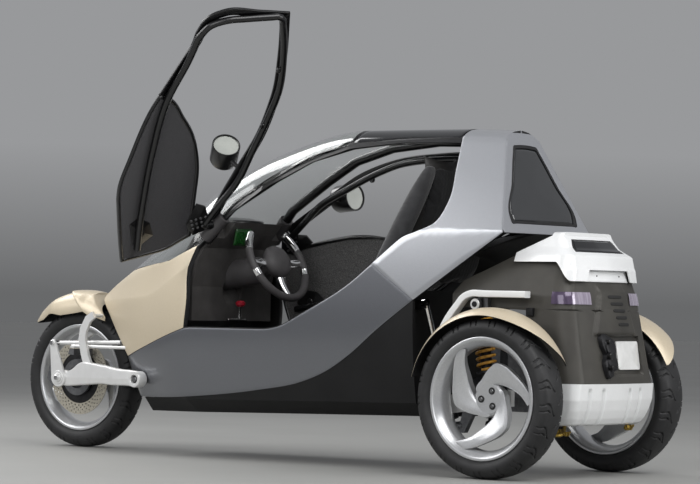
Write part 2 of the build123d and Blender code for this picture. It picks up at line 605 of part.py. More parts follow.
# Vents in the cover's rear face: height of the upper edge, then Y of both ends
VENTS = ((690, -42, 52), (664, -52, 39), (638, -62, 26), (612, -71, 13), (586, -81, 0))
VENT_HEIGHT = 8
VENT_DEPTH = 5
PLATE_RECESS = ((-178, 395), (-172, 541), (60, 541), (64, 395))
RECESS_DEPTH = 4
CAP_NOTCH = ((-152, 740), (-118, 790), (118, 790), (152, 740))
FLUTES = (-176, -88, 88, 176)
FLUTE_WIDTH = 12
FLUTE_DEPTH = 4


def lower_form(extra):
    """Outer form of the lower rear cover, grown by an amount all round."""
    top = COVER_FOOT - SEAT_FIT
    side = offset(face_of(((-316, top), (-306, 240), (-272, 204), (-130, 204), (-118, 330), (-118, top)),
                          Plane.XZ), extra)
    rear = offset(face_of(((-286, top), (-290, 300), (-262, 204), (262, 204), (290, 300), (286, top)),
                          Plane.YZ), extra)
    plan = offset(face_of(((-318, -196), (-318, 196), (-252, 300), (0, 300), (0, -300), (-252, -300)),
                          Plane.XY), extra)
    return extrude(side, 500, both=True) & extrude(rear, 500, both=True) & extrude(plan, 1200, both=True)


def engine_unit():
    """Engine block, its cover, the silver cap and lower cover, and the lamps."""
    save("engine_block", block((-108, 190), (-165, 165), (300, 606)))
    form = cover_form(0)
    cover = form - cover_form(-COVER_WALL)
    cover = cover - block((-240, 400), (-240, 240), (340, 640 + COVER_WALL))
    cover = cover - block((-40, 400), (-262, 262), (620, 650))
    cover = cover - block((-90, -52), (-400, 400), (608, 646))
    for z, y_low, y_high in VENTS:
        slot = block((-400, -200), (y_low, y_high), (z - VENT_HEIGHT, z))
        cover = cover - (slot - cover_form(-VENT_DEPTH))
    cover = cover - (rear_prism(PLATE_RECESS, -400, -200) - cover_form(-RECESS_DEPTH))
    cap_region = side_prism(((-330, 745), (-232, 742), (-200, 792), (-70, 800), (-40, 850), (-70, 960),
                             (-330, 960)),
                            -400, 400)
    cap_shell = (cover_form(14) - cover_form(SEAT_FIT)) & cap_region
    window = plan_prism(((-205, -118), (-205, 118), (-90, 96), (-90, -96)), 700, 1000)
    insert = ((cover_form(12) - cover_form(6)) & window) & cap_region
    recess = plan_prism(((-206, -119), (-206, 119), (-89, 97), (-89, -97)), 700, 1000)
    notch = rear_prism(CAP_NOTCH, -400, -150)
    save("rear_cap", (cap_shell - notch) - ((cover_form(20) - cover_form(6 - SEAT_FIT)) & recess))
    save("cap_window", insert)
    lamp_zone = [block((-330, -205), (min(side * 120, side * 300), max(side * 120, side * 300)), (655, 702))
                 for side in (-1, 1)]
    lamps = [(cover_form(4) - cover_form(SEAT_FIT)) & zone for zone in lamp_zone]
    save("engine_cover", cover)
    save("tail_lamps", *lamps)
    lower = lower_form(0) - lower_form(-COVER_WALL)
    lower = lower - block((-180, -60), (-250, 250), (214, 400)) - block((-290, -60), (-240, 240), (300, 400))
    for y in FLUTES:
        flute = block((-400, -200), (y - FLUTE_WIDTH / 2, y + FLUTE_WIDTH / 2), (150, 344))
        lower = lower - (flute - lower_form(-FLUTE_DEPTH))
    save("lower_cover", lower)


def rear_frame():
    """Frame with the lean bearing, cylinder feet, arm beam and jacking pad."""
    housing_rear, housing_front = LEAN_HOUSING_X
    housing = rod((housing_rear, 0, lean_z(housing_rear)), (housing_front, 0, lean_z(housing_front)),
                  LEAN_HOUSING_RADIUS)
    spine = block((-110, 250), (-70, 70), (240, 300 - SEAT_FIT))
    beam = rod((300, -296, 262), (300, 296, 262), 20)
    pad = block((-60, 60), (-60, 60), (PAD_HEIGHT, 242))
    frame = housing + spine + beam + pad
    for side in (-1, 1):
        y = side * CYLINDER_FOOT[0]
        frame = frame + side_prism(((280, 262), (320, 258), (340, 190), (340, 152), (318, 152), (280, 225)),
                                   y - 14, y + 14)
        height = CYLINDER_FOOT[1]
        near_face = -EYE_WIDTH / 2 - SEAT_FIT
        frame = frame + rod(lean_point(y, height, near_face - 36), lean_point(y, height, near_face), 18)
        frame = frame + rod(lean_point(y, height, near_face - 4), lean_point(y, height, 12), EYE_PIN_RADIUS)
        rail_y = side * 300
        frame = frame + side_prism(((-90, 676), (-90, 708), (206, 708), (330, 560), (318, 250), (286, 250),
                                    (298, 548), (190, 676)), rail_y - 13, rail_y + 13)
        cross = block((-86, -56), (min(side * 256, side * 290), max(side * 256, side * 290)), (640, 680))
        frame = frame + (cross - cover_form(SEAT_FIT))
    strut = block((-86, -56), (-283, 283), (612, 642))
    frame = frame + strut
    bore_rear, bore_front = housing_rear - 15, housing_front + 15
    frame = frame - rod((bore_rear, 0, lean_z(bore_rear)), (bore_front, 0, lean_z(bore_front)),
                        LEAN_SHAFT_RADIUS + RUNNING_GAP)
    save("module_frame", frame)


# Rear fender's section: radius, and distance outwards from the wheel's middle plane
FENDER_SECTION = ((312, -90), (324, -78), (337, -40), (341, 0), (338, 36), (328, 62), (308, 72), (305, 68),
                  (324, 59),
                  (333, 34), (336, 0), (332, -39), (319, -75), (308, -86))
DAMPER_PIN_RADIUS = 9
DAMPER_RADIUS = 22
PERCH_RADIUS = 42


def rear_suspension():
    """Trailing arms with stub axles, dampers and springs, and the rear fenders."""
    arm_y = (313 + SEAT_FIT, 336)
    arm = side_prism(((-34, 270), (-34, 330), (40, 338), (300, 296), (334, 262), (300, 228), (40, 262)),
                     *arm_y)
    arm = arm + side_prism(((76, 300), (84, 361), (108, 361), (116, 300)), arm_y[0], arm_y[0] + 14)
    half_track = REAR_TRACK / 2
    arm = arm + rod((0, 324, WHEEL_RADIUS), (0, half_track - 4, WHEEL_RADIUS), REAR_AXLE_RADIUS)
    arm = arm + rod((96, 282, 352), (96, 320, 352), DAMPER_PIN_RADIUS)
    save("trailing_arms", arm, mirrored(arm))
    low, high = Vector(96, 298, 352), Vector(140, 298, 660)
    axis = (high - low).normalized()

    def at(distance):
        return tuple(low + axis * distance)

    length = (high - low).length
    eye = rod((96, 288, 352), (96, 308, 352), 17)
    body = rod(at(19), at(170), DAMPER_RADIUS) + rod(at(6), at(24), 10) + rod(at(150), at(length + 15), 9)
    body = body + rod(at(40), at(48), PERCH_RADIUS) + rod(at(length - 46), at(length - 36), PERCH_RADIUS)
    body = (body + eye) - rod((96, 280, 352), (96, 312, 352), DAMPER_PIN_RADIUS + SEAT_FIT)
    body = body - block((100, 180), (270, 320), (676 - SEAT_FIT, 720))
    save("dampers", body, mirrored(body))
    coil_ring = revolve(Plane.XZ * Pos(34, 0) * RegularPolygon(6, 6), Axis.Z)
    coils = None
    for i in range(6):
        ring = Plane(origin=at(66 + i * 32), z_dir=axis) * coil_ring
        coils = ring if coils is None else coils + ring
    plane = Plane(origin=at(48 + SEAT_FIT), z_dir=axis)
    wall = plane * (Cylinder(37, length - 46 - 48 - 2 * SEAT_FIT,
                             align=(Align.CENTER, Align.CENTER, Align.MIN))
                    - Cylinder(30, 400, align=(Align.CENTER, Align.CENTER, Align.MIN)))
    spring = wall + coils
    save("coil_springs", spring, mirrored(spring))
    centre = (0, 0, WHEEL_RADIUS)
    skin = [(r, half_track + across) for r, across in FENDER_SECTION]
    fender = sector(skin, centre, 14, 155)
    stay = side_prism(((-18, 290), (18, 290), (12, 612), (-12, 612)), 336 + SEAT_FIT, 343)
    stay = stay - rod((0, 300, WHEEL_RADIUS), (0, 400, WHEEL_RADIUS), REAR_AXLE_RADIUS + SEAT_FIT)
    fender = fender + stay
    save("rear_fenders", fender, mirrored(fender))


def tilt_cylinders():
    """Barrels on the module's feet and rods that end in an eye beside the cabin's brackets."""
    slope = radians(LEAN_ANGLE)
    forward = Vector(cos(slope), 0, -sin(slope))
    for side, name in ((1, "left"), (-1, "right")):
        foot = Vector(*lean_point(side * CYLINDER_FOOT[0], CYLINDER_FOOT[1]))
        top = Vector(*lean_point(side * CYLINDER_TOP[0], CYLINDER_TOP[1]))
        along = (top - foot).normalized()

        def at(distance):
            return tuple(foot + along * distance)

        half = EYE_WIDTH / 2
        foot_eye = rod(tuple(foot - forward * half), tuple(foot + forward * half), EYE_RADIUS - 2)
        neck = rod(at(8), at(34), 7)
        collar = rod(at(BARREL_LENGTH - 18), at(BARREL_LENGTH), BARREL_RADIUS + 3)
        barrel = rod(at(32), at(BARREL_LENGTH), BARREL_RADIUS) + collar + neck + foot_eye
        barrel = barrel - rod(tuple(foot - forward * 40), tuple(foot + forward * 40),
                              EYE_PIN_RADIUS + SEAT_FIT)
        barrel = barrel - rod(at(38), at(BARREL_LENGTH + 10), PISTON_RADIUS + SEAT_FIT)
        save(f"cylinder_barrel_{name}", barrel)
        span = (top - foot).length
        eye = rod(tuple(top - forward * half), tuple(top + forward * half), EYE_RADIUS)
        piston = rod(at(155), at(span - 6), PISTON_RADIUS) + eye
        piston = piston - rod(tuple(top - forward * 40), tuple(top + forward * 40), EYE_PIN_RADIUS)
        save(f"cylinder_rod_{name}", piston)


os.makedirs("parts", exist_ok=True)
cabin_panels()
cabin_tub()
pillar_frame()
glazing()
cabin_inside()
doors()
wheels()
front_end()
steering_wheel()
engine_unit()
rear_frame()
rear_suspension()
tilt_cylinders()
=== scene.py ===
from math import cos, pi, radians, sin

import bmesh
import bpy
import numpy as np
from mathutils import Matrix


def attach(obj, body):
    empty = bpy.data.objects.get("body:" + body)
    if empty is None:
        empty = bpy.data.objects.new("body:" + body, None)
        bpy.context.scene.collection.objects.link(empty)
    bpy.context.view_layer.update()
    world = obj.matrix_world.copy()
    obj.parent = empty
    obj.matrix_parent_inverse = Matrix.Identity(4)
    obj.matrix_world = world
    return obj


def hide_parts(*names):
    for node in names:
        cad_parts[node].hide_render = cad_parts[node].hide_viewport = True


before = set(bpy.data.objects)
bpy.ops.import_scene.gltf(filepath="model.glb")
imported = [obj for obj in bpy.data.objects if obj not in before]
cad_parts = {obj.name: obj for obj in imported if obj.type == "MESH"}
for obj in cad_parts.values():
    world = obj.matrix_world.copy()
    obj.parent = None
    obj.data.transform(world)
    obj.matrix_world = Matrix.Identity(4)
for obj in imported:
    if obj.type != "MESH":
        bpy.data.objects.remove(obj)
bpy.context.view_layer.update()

bl_info = {"name": "Tilting three wheeled car", "version": (1, 0, 0), "blender": (4, 5, 0),
           "location": "View3D > Sidebar > Three wheeler",
           "description": "Body panels, wheels, doors and cabin of a small tilting car",
           "category": "Object",}

# Sizes that repeat the solids' own, in millimetres above the floor
PAD_HEIGHT = 190
WHEELBASE, HALF_TRACK, WHEEL_RADIUS = 2400, 430, 300
REAR_WIDTH, FRONT_WIDTH, BEAD = 140, 120, 216
HINGE = np.array([1518, 217, 950.0])
HINGE_AXIS = np.array([-0.691, -0.143, 0.709])
DOOR_OPEN = 90
TREAD_PITCHES = 21
PAD_FILL, PAD_SWELL = 0.6, 0.024
SHEET, DOOR_SHEET = 0.004, 0.009
TUBE_DEPTH = 23.0
STEER = np.array([1364, 0, 808.0])
COLUMN_TILT = 27

# Cabin sections from rear to front: place, then half width and height of floor edge, sill, bulge,
# belt and rail, then height of the crown
SECTIONS = np.array([(-60, 210, 220, 296, 270, 326, 560, 306, 930, 108, 1280, 1316),
                     (420, 210, 213, 300, 265, 334, 560, 312, 930, 121, 1300, 1340),
                     (900, 210, 202, 300, 255, 336, 560, 315, 930, 137, 1285, 1342),
                     (1300, 210, 192, 298, 245, 336, 540, 308, 880, 180, 1130, 1256),
                     (1600, 200, 184, 280, 238, 322, 520, 288, 780, 238, 880, 1112),
                     (1900, 140, 178, 192, 234, 232, 440, 222, 650, 176, 772, 897),
                     (2290, 30, 520, 40, 545, 52, 590, 46, 630, 24, 650, 664)], float)


class PaintSettings(bpy.types.PropertyGroup):
    """Colours that an owner would choose."""
    side: bpy.props.StringProperty(name="Side panels", description="Lower side panels, sRGB hex",
                                   default="#787a7f")
    quarter: bpy.props.StringProperty(name="Rear quarters", description="Rear shell, sRGB hex",
                                      default="#b9bbbf")
    nose: bpy.props.StringProperty(name="Nose and fenders", description="Champagne panels, sRGB hex",
                                   default="#dacdb5")
    cover: bpy.props.StringProperty(name="Engine cover", description="Warm dark cover, sRGB hex",
                                    default="#45433e")
    trim: bpy.props.StringProperty(name="Silver trim", description="Cap and lower cover, sRGB hex",
                                   default="#f4f5f5")


class SizeSettings(bpy.types.PropertyGroup):
    """Sizes of the sheet parts and of the tread."""
    wall: bpy.props.FloatProperty(name="Panel wall", description="Thickness of the outer panels",
                                  default=0.012, unit="LENGTH")
    glass: bpy.props.FloatProperty(name="Glass", description="Thickness of the windscreen", default=0.006,
                                   unit="LENGTH")
    tread: bpy.props.FloatProperty(name="Tread depth", description="Depth of the tread grooves",
                                   default=0.0065, unit="LENGTH")
    floor: bpy.props.FloatProperty(name="Floor", description="Half size of the studio floor", default=40.0,
                                   unit="LENGTH")


def linear(code):
    """An sRGB hex colour as linear red, green, blue and alpha."""
    rgb = np.array([int(code[i:i + 2], 16) for i in (1, 3, 5)]) / 255
    return (*np.where(rgb <= 0.04045, rgb / 12.92, ((rgb + 0.055) / 1.055) ** 2.4), 1.0)


def add(tree, kind, values=None, links=None, **settings):
    """Add one node with its settings, socket values and incoming links."""
    made = tree.nodes.new(kind)
    for key, value in settings.items():
        setattr(made, key, value)
    for key, value in (values or {}).items():
        made.inputs[key].default_value = value
    for key, source in (links or {}).items():
        tree.links.new(source, made.inputs[key])
    return made


def surface(name, colour, shade=None, patch=60.0, grain=1.0, depth=0.02, rough=0.5, spread=0.0,
            stretch=(1, 1, 1), **sockets):
    """A material whose colour drifts to shade over patches of that width, with a grain that roughs the
    normal; patch, grain and depth are in millimetres."""
    material = bpy.data.materials.new(name)
    material.use_nodes = True
    tree = material.node_tree
    shader = tree.nodes["Principled BSDF"]
    shader.inputs["Base Color"].default_value = linear(colour)
    shader.inputs["Roughness"].default_value = rough
    for key, value in sockets.items():
        shader.inputs[key.replace("_", " ")].default_value = value
    where = add(tree, "ShaderNodeTexCoord").outputs["Object"]
    where = add(tree, "ShaderNodeMapping", {"Scale": stretch}, {"Vector": where}).outputs["Vector"]
    fine = add(tree, "ShaderNodeTexNoise", {"Scale": 1000 / grain, "Detail": 4.0}, {"Vector": where})
    bump = add(tree, "ShaderNodeBump", {"Distance": depth / 1000, "Strength": 0.8},
               {"Height": fine.outputs["Fac"]})
    tree.links.new(bump.outputs["Normal"], shader.inputs["Normal"])
    if shade:
        broad = add(tree, "ShaderNodeTexNoise", {"Scale": 1000 / patch, "Detail": 3.0}, {"Vector": where})
        ramp = add(tree, "ShaderNodeValToRGB", {}, {"Fac": broad.outputs["Fac"]})
        ramp.color_ramp.elements[0].position, ramp.color_ramp.elements[1].position = 0.35, 0.68
        ramp.color_ramp.elements[0].color, ramp.color_ramp.elements[1].color = linear(shade), linear(colour)
        tree.links.new(ramp.outputs["Color"], shader.inputs["Base Color"])
    if spread:
        ends = {"From Min": 0.3, "From Max": 0.7, "To Min": rough - spread, "To Max": rough + spread}
        ranged = add(tree, "ShaderNodeMapRange", ends, {"Value": fine.outputs["Fac"]})
        tree.links.new(ranged.outputs["Result"], shader.inputs["Roughness"])
    return material


def woven(name, colour, shade, pitch, rough, **sockets):
    """Cloth of two crossed sets of threads, pitch millimetres apart, in the piece's own space."""
    material = surface(name, colour, shade, 40, pitch, 0.1, rough, **sockets)
    tree = material.node_tree
    where = tree.nodes["Texture Coordinate"].outputs["Object"]
    threads = [add(tree, "ShaderNodeTexWave", {"Scale": 1000 / pitch / 20, "Distortion": 0.6,
                                               "Detail Scale": 2.0}, {"Vector": where},
                   bands_direction=axis).outputs["Fac"] for axis in "YZ"]
    cross = add(tree, "ShaderNodeMath", {}, {0: threads[0], 1: threads[1]}, operation="MULTIPLY")
    bump = tree.nodes["Bump"]
    bump.inputs["Distance"].default_value = 0.0006
    tree.links.new(cross.outputs["Value"], bump.inputs["Height"])
    return material


MATERIALS = {}


def make_materials():
    """All finishes by their slot or use."""
    paint = bpy.context.scene.three_wheeler_paint
    table = {
        # sprayed metallic lacquer: small flakes under clear coat, soft broad highlights
        "silver_side": dict(colour=paint.side, shade="#6f7176", patch=1.6, grain=9, depth=0.004, rough=0.33,
                            Metallic=0.75, Coat_Weight=0.8, Coat_Roughness=0.06),
        "silver_quarter": dict(colour=paint.quarter, shade="#adafb4", patch=1.6, grain=9, depth=0.004,
                               rough=0.33,
                               Metallic=0.7, Coat_Weight=0.8, Coat_Roughness=0.06),
        "champagne": dict(colour=paint.nose, shade="#cdbfa5", patch=1.6, grain=9, depth=0.004, rough=0.42,
                          Metallic=0.3, Coat_Weight=0.3, Coat_Roughness=0.12),
        # satin moulded cover: warm dark grey with a dull sheen
        "cover_plastic": dict(colour=paint.cover, shade="#3c3a36", patch=90, grain=1.2, depth=0.03, rough=0.5,
                              spread=0.05, Metallic=0.25),
        # bright silver lacquer of the cap, frame bars and lower cover
        "trim_silver": dict(colour=paint.trim, shade="#edeeee", patch=2, grain=10, depth=0.004, rough=0.34,
                            Metallic=0.1, Coat_Weight=0.6, Coat_Roughness=0.1),
        # satin black polypropylene tub: dark with a faint grain
        "tub_plastic": dict(colour="#0e0e0f", shade="#141415", patch=120, grain=1.5, depth=0.05, rough=0.52,
                            spread=0.06, Specular_IOR_Level=0.3),
        # gloss black powder coat on tubes and frames
        "powder_black": dict(colour="#0b0b0c", shade="#101012", patch=80, grain=2.5, depth=0.02, rough=0.28,
                             Coat_Weight=0.4, Coat_Roughness=0.2),
        # needle punched carpet: speckled, no sheen
        "carpet": dict(colour="#3a393d", shade="#1d1c20", patch=3.0, grain=2.0, depth=0.9, rough=0.97,
                       Sheen_Weight=0.3),
        # the same carpet painted lighter for the far door: painted light standing in for light its inner side
        # does not get
        "carpet_light": dict(colour="#6a6968", shade="#3b3a3b", patch=4.0, grain=2.0, depth=0.9, rough=0.97,
                             Sheen_Weight=0.3),
        # moulded dashboard skin with a leather-like grain
        "dash_skin": dict(colour="#464443", shade="#3b3938", patch=60, grain=2.2, depth=0.18, rough=0.62,
                          spread=0.06),
        "column_grey": dict(colour="#494748", shade="#403e3f", patch=60, grain=1.8, depth=0.12, rough=0.58,
                            spread=0.06),
        "trim_grey": dict(colour="#3d3c3b", shade="#333231", patch=70, grain=1.6, depth=0.05, rough=0.5),
        # sand cast and blasted aluminium: bright, with a fine tooth
        "cast_alloy": dict(colour="#e9e9e8", shade="#e2e2e1", patch=60, grain=2.5, depth=0.004, rough=0.34,
                           spread=0.04, Metallic=0.35),
        "cast_dark": dict(colour="#77787a", shade="#66676a", patch=14, grain=1.4, depth=0.08, rough=0.42,
                          spread=0.08, Metallic=0.8),
        # turned and lacquered wheel alloy
        "wheel_alloy": dict(colour="#cbcccd", shade="#c3c4c6", patch=6, grain=8, depth=0.002, rough=0.3,
                            Metallic=0.7, Coat_Weight=0.5, Coat_Roughness=0.12),
        "polished": dict(colour="#e6e6e6", shade="#e0e0e0", patch=60, grain=12, depth=0.0005, rough=0.12,
                         Metallic=1.0),
        # brake disc: ground stainless, slightly warm
        "disc_steel": dict(colour="#cdc7b8", shade="#bbb5a7", patch=6, grain=0.8, depth=0.03, rough=0.38,
                           spread=0.08, Metallic=0.7),
        "bolt_steel": dict(colour="#8f8f90", shade="#7d7d7f", patch=5, grain=1.0, depth=0.03, rough=0.3,
                           Metallic=1.0),
        "dark_steel": dict(colour="#2b2b2d", shade="#1f1f21", patch=20, grain=1.5, depth=0.05, rough=0.45,
                           Metallic=0.6),
        # zinc passivated unions: yellow, slightly rainbowed
        "zinc_yellow": dict(colour="#b79a4a", shade="#8f7a3c", patch=6, grain=1.0, depth=0.03, rough=0.32,
                            Metallic=0.9),
        # sprung steel with yellow powder coat
        "spring_yellow": dict(colour="#d9a23a", shade="#b9822a", patch=12, grain=2.0, depth=0.03, rough=0.42,
                              Coat_Weight=0.3),
        # carbon-filled rubber: near black, dull, slightly chalky on the walls
        "tyre_rubber": dict(colour="#19191a", shade="#212122", patch=30, grain=1.4, depth=0.04, rough=0.55,
                            spread=0.05),
        "seal_rubber": dict(colour="#111112", shade="#18181a", patch=30, grain=1.5, depth=0.05, rough=0.65),
        # polycarbonate lens over a violet reflector
        "lamp_violet": dict(colour="#43384f", shade="#5d5068", patch=16, grain=7, depth=0.35, rough=0.16,
                            stretch=(0.3, 1, 0.1), Metallic=0.25, Coat_Weight=0.4),
        "lamp_pale": dict(colour="#aea5b4", shade="#8f8697", patch=12, grain=7, depth=0.35, rough=0.16,
                          stretch=(0.3, 1, 0.1), Metallic=0.25, Coat_Weight=0.5),
        # mirror glass: a pale diffuse colour standing in for its reflection, a painted reflection
        "mirror_glass": dict(colour="#dfe2da", shade="#d6d9d2", patch=60, grain=60, depth=0.002, rough=0.05,
                             Metallic=0.5),
        "plate_white": dict(colour="#e9e9e7", shade="#dededc", patch=40, grain=3, depth=0.02, rough=0.35,
                            Coat_Weight=0.4),
        # liquid crystal display, dim green
        "display_green": dict(colour="#174a1c", shade="#0f3a14", patch=9, grain=3, depth=0.01, rough=0.2),
        "red_plastic": dict(colour="#a01228", shade="#8a0f22", patch=9, grain=1.0, depth=0.05, rough=0.45),
        # dark tinted laminated glass
        "tinted_glass": dict(colour="#26282a", shade="#2e3032", patch=300, grain=200, depth=0.002, rough=0.05,
                             Coat_Weight=1.0, Transmission_Weight=0.35, IOR=1.5),
        "roof_glass": dict(colour="#0c0d0f", shade="#111315", patch=300, grain=200, depth=0.002, rough=0.06,
                           Coat_Weight=0.3),
        # clear laminated glass with a faint green cast
        "clear_glass": dict(colour="#fbfdfc", grain=300, depth=0.001, rough=0.0, Transmission_Weight=1.0,
                            IOR=1.45),
        # painted shade: near black for vent slots, bolt wells, screw holes and the boss's hollow, standing
        # for the shade inside them
        "dark_recess": dict(colour="#161616", shade="#1c1c1c", patch=40, grain=2, depth=0.05, rough=0.7),
    }
    for name, settings in table.items():
        MATERIALS[name] = surface(name, **settings)
    # plain weave seat cloth, threads drawn at 3 mm so that they show
    MATERIALS["seat_cloth"] = woven("seat_cloth", "#1d1d1f", "#131315", 3.0, 0.92, Sheen_Weight=0.35)
    # ribbed side bolster cloth, paler
    MATERIALS["seat_side"] = woven("seat_side", "#3a3a3c", "#2e2e30", 3.0, 0.88, Sheen_Weight=0.4)


def placed(points):
    """Millimetres above the floor to metres in the frame."""
    moved = np.array(points, float) / 1000
    moved[..., 2] -= PAD_HEIGHT / 1000
    return moved


def unit(vectors):
    """The vectors brought to length one."""
    return vectors / np.maximum(np.linalg.norm(vectors, axis=-1, keepdims=True), 1e-12)


def along(points, count, smooth=True, close=False):
    """count points evenly spaced on a line through the given ones: straight runs, or a cubic whose slope at
    each point follows its neighbours'."""
    points = np.array(points, float)
    if close:
        points = np.vstack([points[-2:], points, points[:3]])
    reach = np.r_[0, np.cumsum(np.linalg.norm(np.diff(points, axis=0), axis=1))]
    start, end = (reach[2], reach[-3]) if close else (reach[0], reach[-1])
    want = np.linspace(start, end, count + 1)[:-1] if close else np.linspace(start, end, count)
    if not smooth or len(points) < 3:
        return np.stack([np.interp(want, reach, column) for column in points.T], -1)
    slope = np.gradient(points, reach, axis=0)
    i = np.clip(np.searchsorted(reach, want, side="right") - 1, 0, len(points) - 2)
    h = (reach[i + 1] - reach[i])[:, None]
    t = (want - reach[i])[:, None] / h
    return ((2 * t ** 3 - 3 * t ** 2 + 1) * points[i] + (t ** 3 - 2 * t ** 2 + t) * h * slope[i]
            + (3 * t ** 2 - 2 * t ** 3) * points[i + 1] + (t ** 3 - t ** 2) * h * slope[i + 1])


def corners(points, counts):
    """A line of straight runs with sharp corners kept, each run divided into its own count."""
    points = np.array(points, float)
    runs = [np.linspace(a, b, n, endpoint=False) for a, b, n in zip(points, points[1:], counts)]
    return np.vstack(runs + [points[-1:]])


def quads(rows, cols, round_rows=False, round_cols=False):
    """Faces of a grid of points, closed on itself where asked."""
    r, c = np.meshgrid(np.arange(rows if round_rows else rows - 1),
                       np.arange(cols if round_cols else cols - 1), indexing="ij")
    r2, c2 = (r + 1) % rows, (c + 1) % cols
    return np.stack([r * cols + c, r2 * cols + c, r2 * cols + c2, r * cols + c2], -1).reshape(-1, 4)


def grid(points, round_rows=False, round_cols=False, paint=0):
    """A part from a grid of points: its points, its faces and the number of its material."""
    rows, cols = points.shape[:2]
    return points.reshape(-1, 3), quads(rows, cols, round_rows, round_cols), paint


def outward(part, centre):
    """Turn a part's faces away from a point inside it."""
    points, faces, paint = part
    a, b, c = points[faces[:, 0]], points[faces[:, 1]], points[faces[:, 2]]
    facing = np.sum(np.cross(b - a, c - a) * (points[faces].mean(1) - np.array(centre, float)))
    return (points, faces[:, ::-1], paint) if facing < 0 else part


def mirrored(part):
    """A part on the other side of the car, its faces turned round again."""
    points, faces, paint = part
    return points * (1, -1, 1), faces[:, ::-1], paint


def turned(points, angle):
    """Points turned about the door's hinge by an angle in degrees (the rotation formula of Rodrigues)."""
    k, a = unit(HINGE_AXIS), radians(angle)
    v = points - HINGE
    return HINGE + v * cos(a) + np.cross(k, v) * sin(a) + (v @ k)[..., None] * k * (1 - cos(a))


def make(name, parts, paints, body, replaces=(), solid=0.0, bevel=0.0, sharp=35, closed=True):
    """Join parts given in millimetres into one named piece that rides on a body."""
    points, faces, marks, first = [], [], [], 0
    for part_points, part_faces, paint in parts:
        points.append(placed(part_points))
        faces.append(part_faces + first)
        marks.append(np.full(len(part_faces), paint))
        first += len(part_points)
    mesh = bpy.data.meshes.new(name)
    mesh.from_pydata(np.vstack(points).tolist(), [], np.vstack(faces).tolist())
    mesh.polygons.foreach_set("material_index", np.concatenate(marks).astype(np.int32))
    work = bmesh.new()
    work.from_mesh(mesh)
    bmesh.ops.remove_doubles(work, verts=work.verts, dist=0.00015)
    bmesh.ops.dissolve_degenerate(work, edges=work.edges, dist=0.00005)
    if closed:
        bmesh.ops.recalc_face_normals(work, faces=work.faces)
    work.to_mesh(mesh)
    work.free()
    for paint in paints:
        mesh.materials.append(MATERIALS[paint])
    mesh.polygons.foreach_set("use_smooth", np.ones(len(mesh.polygons), bool))
    mesh.set_sharp_from_angle(angle=radians(sharp))
    piece = bpy.data.objects.new(name, mesh)
    bpy.context.scene.collection.objects.link(piece)
    if solid:
        shell = piece.modifiers.new("Wall", "SOLIDIFY")
        shell.thickness, shell.offset = solid, -1
        if len(paints) > 1:
            shell.material_offset, shell.material_offset_rim = 1, len(paints) - 1
    if bevel:
        edge = piece.modifiers.new("Edge", "BEVEL")
        edge.width, edge.segments, edge.limit_method, edge.angle_limit = bevel, 2, "ANGLE", radians(40)
    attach(piece, body)
    if replaces:
        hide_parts(*replaces)
    return piece


def swept(path, profile, up=(0, 0, 1), scale=None, paint=0):
    """A closed profile of (across, up) points carried square along a path and closed at both ends; scale
    widens it along the way."""
    path, profile = np.array(path, float), np.array(profile, float)
    ends = np.vstack([path[:1], path, path[-1:]])
    ahead = unit(ends[2:] - ends[:-2])
    side = unit(np.cross(ahead, np.array(up, float)))
    rise = np.cross(side, ahead)
    grow = np.ones(len(path)) if scale is None else np.array(scale, float)
    ring = path[:, None] + grow[:, None, None] * (profile[None, :, :1] * side[:, None]
                                                  + profile[None, :, 1:] * rise[:, None])
    poles = [np.repeat(end.mean(1, keepdims=True), ring.shape[1], 1) for end in (ring[:1], ring[-1:])]
    return [grid(np.concatenate([poles[0], ring, poles[1]]), round_cols=True, paint=paint)]


def circle(radius, count=18, flat=1.0):
    """Profile points of a circle, or of an ellipse flattened upwards."""
    angle = np.linspace(0, 2 * pi, count, endpoint=False)
    return np.stack([radius * np.cos(angle), radius * flat * np.sin(angle)], -1)


def rod(start, end, radius, paint=0, count=20):
    """A round bar with softened ends."""
    start, end = np.array(start, float), np.array(end, float)
    way = unit(end - start)
    soft = min(radius * 0.15, 2.0)
    path = np.array([start, start, start + way * soft, end - way * soft, end, end])
    up = (1, 0, 0) if abs(way[2]) > 0.9 else (0, 0, 1)
    side = unit(np.cross(way, up))
    rise = np.cross(side, way)
    grow = np.array([0, radius - soft, radius, radius, radius - soft, 0])
    ring = circle(1, count)
    points = path[:, None] + grow[:, None, None] * (ring[None, :, :1] * side + ring[None, :, 1:] * rise)
    return grid(points, round_cols=True, paint=paint)


def spun(profile, centre, count=96, paint=0, closed_profile=True):
    """A profile of (radius, Y) points turned about an axle along Y."""
    radius, y = np.array(profile, float).T
    angle = np.radians(np.linspace(0, 360, count, endpoint=False))
    points = np.stack([np.cos(angle)[:, None] * radius, np.broadcast_to(y, (count, len(y))),
                       np.sin(angle)[:, None] * radius], -1) + np.array(centre, float)
    return [grid(points, round_rows=True, round_cols=closed_profile, paint=paint)]


def clamped(value):
    """A value held between 0 and 1."""
    return np.clip(value, 0, 1)


def around(quarter):
    """A closed outline from the points of one quarter, mirrored into the other three."""
    return np.vstack([quarter, quarter[::-1] * (-1, 1), quarter * (-1, -1), quarter[::-1] * (1, -1)])


def lathed(profile, origin, ahead, across=(0, 1, 0), paint=0):
    """A profile of (radius, distance ahead) points turned about the line from origin along ahead."""
    profile, across = np.array(profile, float), np.array(across, float)
    up = unit(np.cross(ahead, across))
    ring = circle(1, 40)[None]
    radius, distance = profile[:, 0, None, None], profile[:, 1, None, None]
    points = origin + distance * ahead + radius * (ring[..., :1] * across + ring[..., 1:] * up)
    return grid(points, round_cols=True, paint=paint)


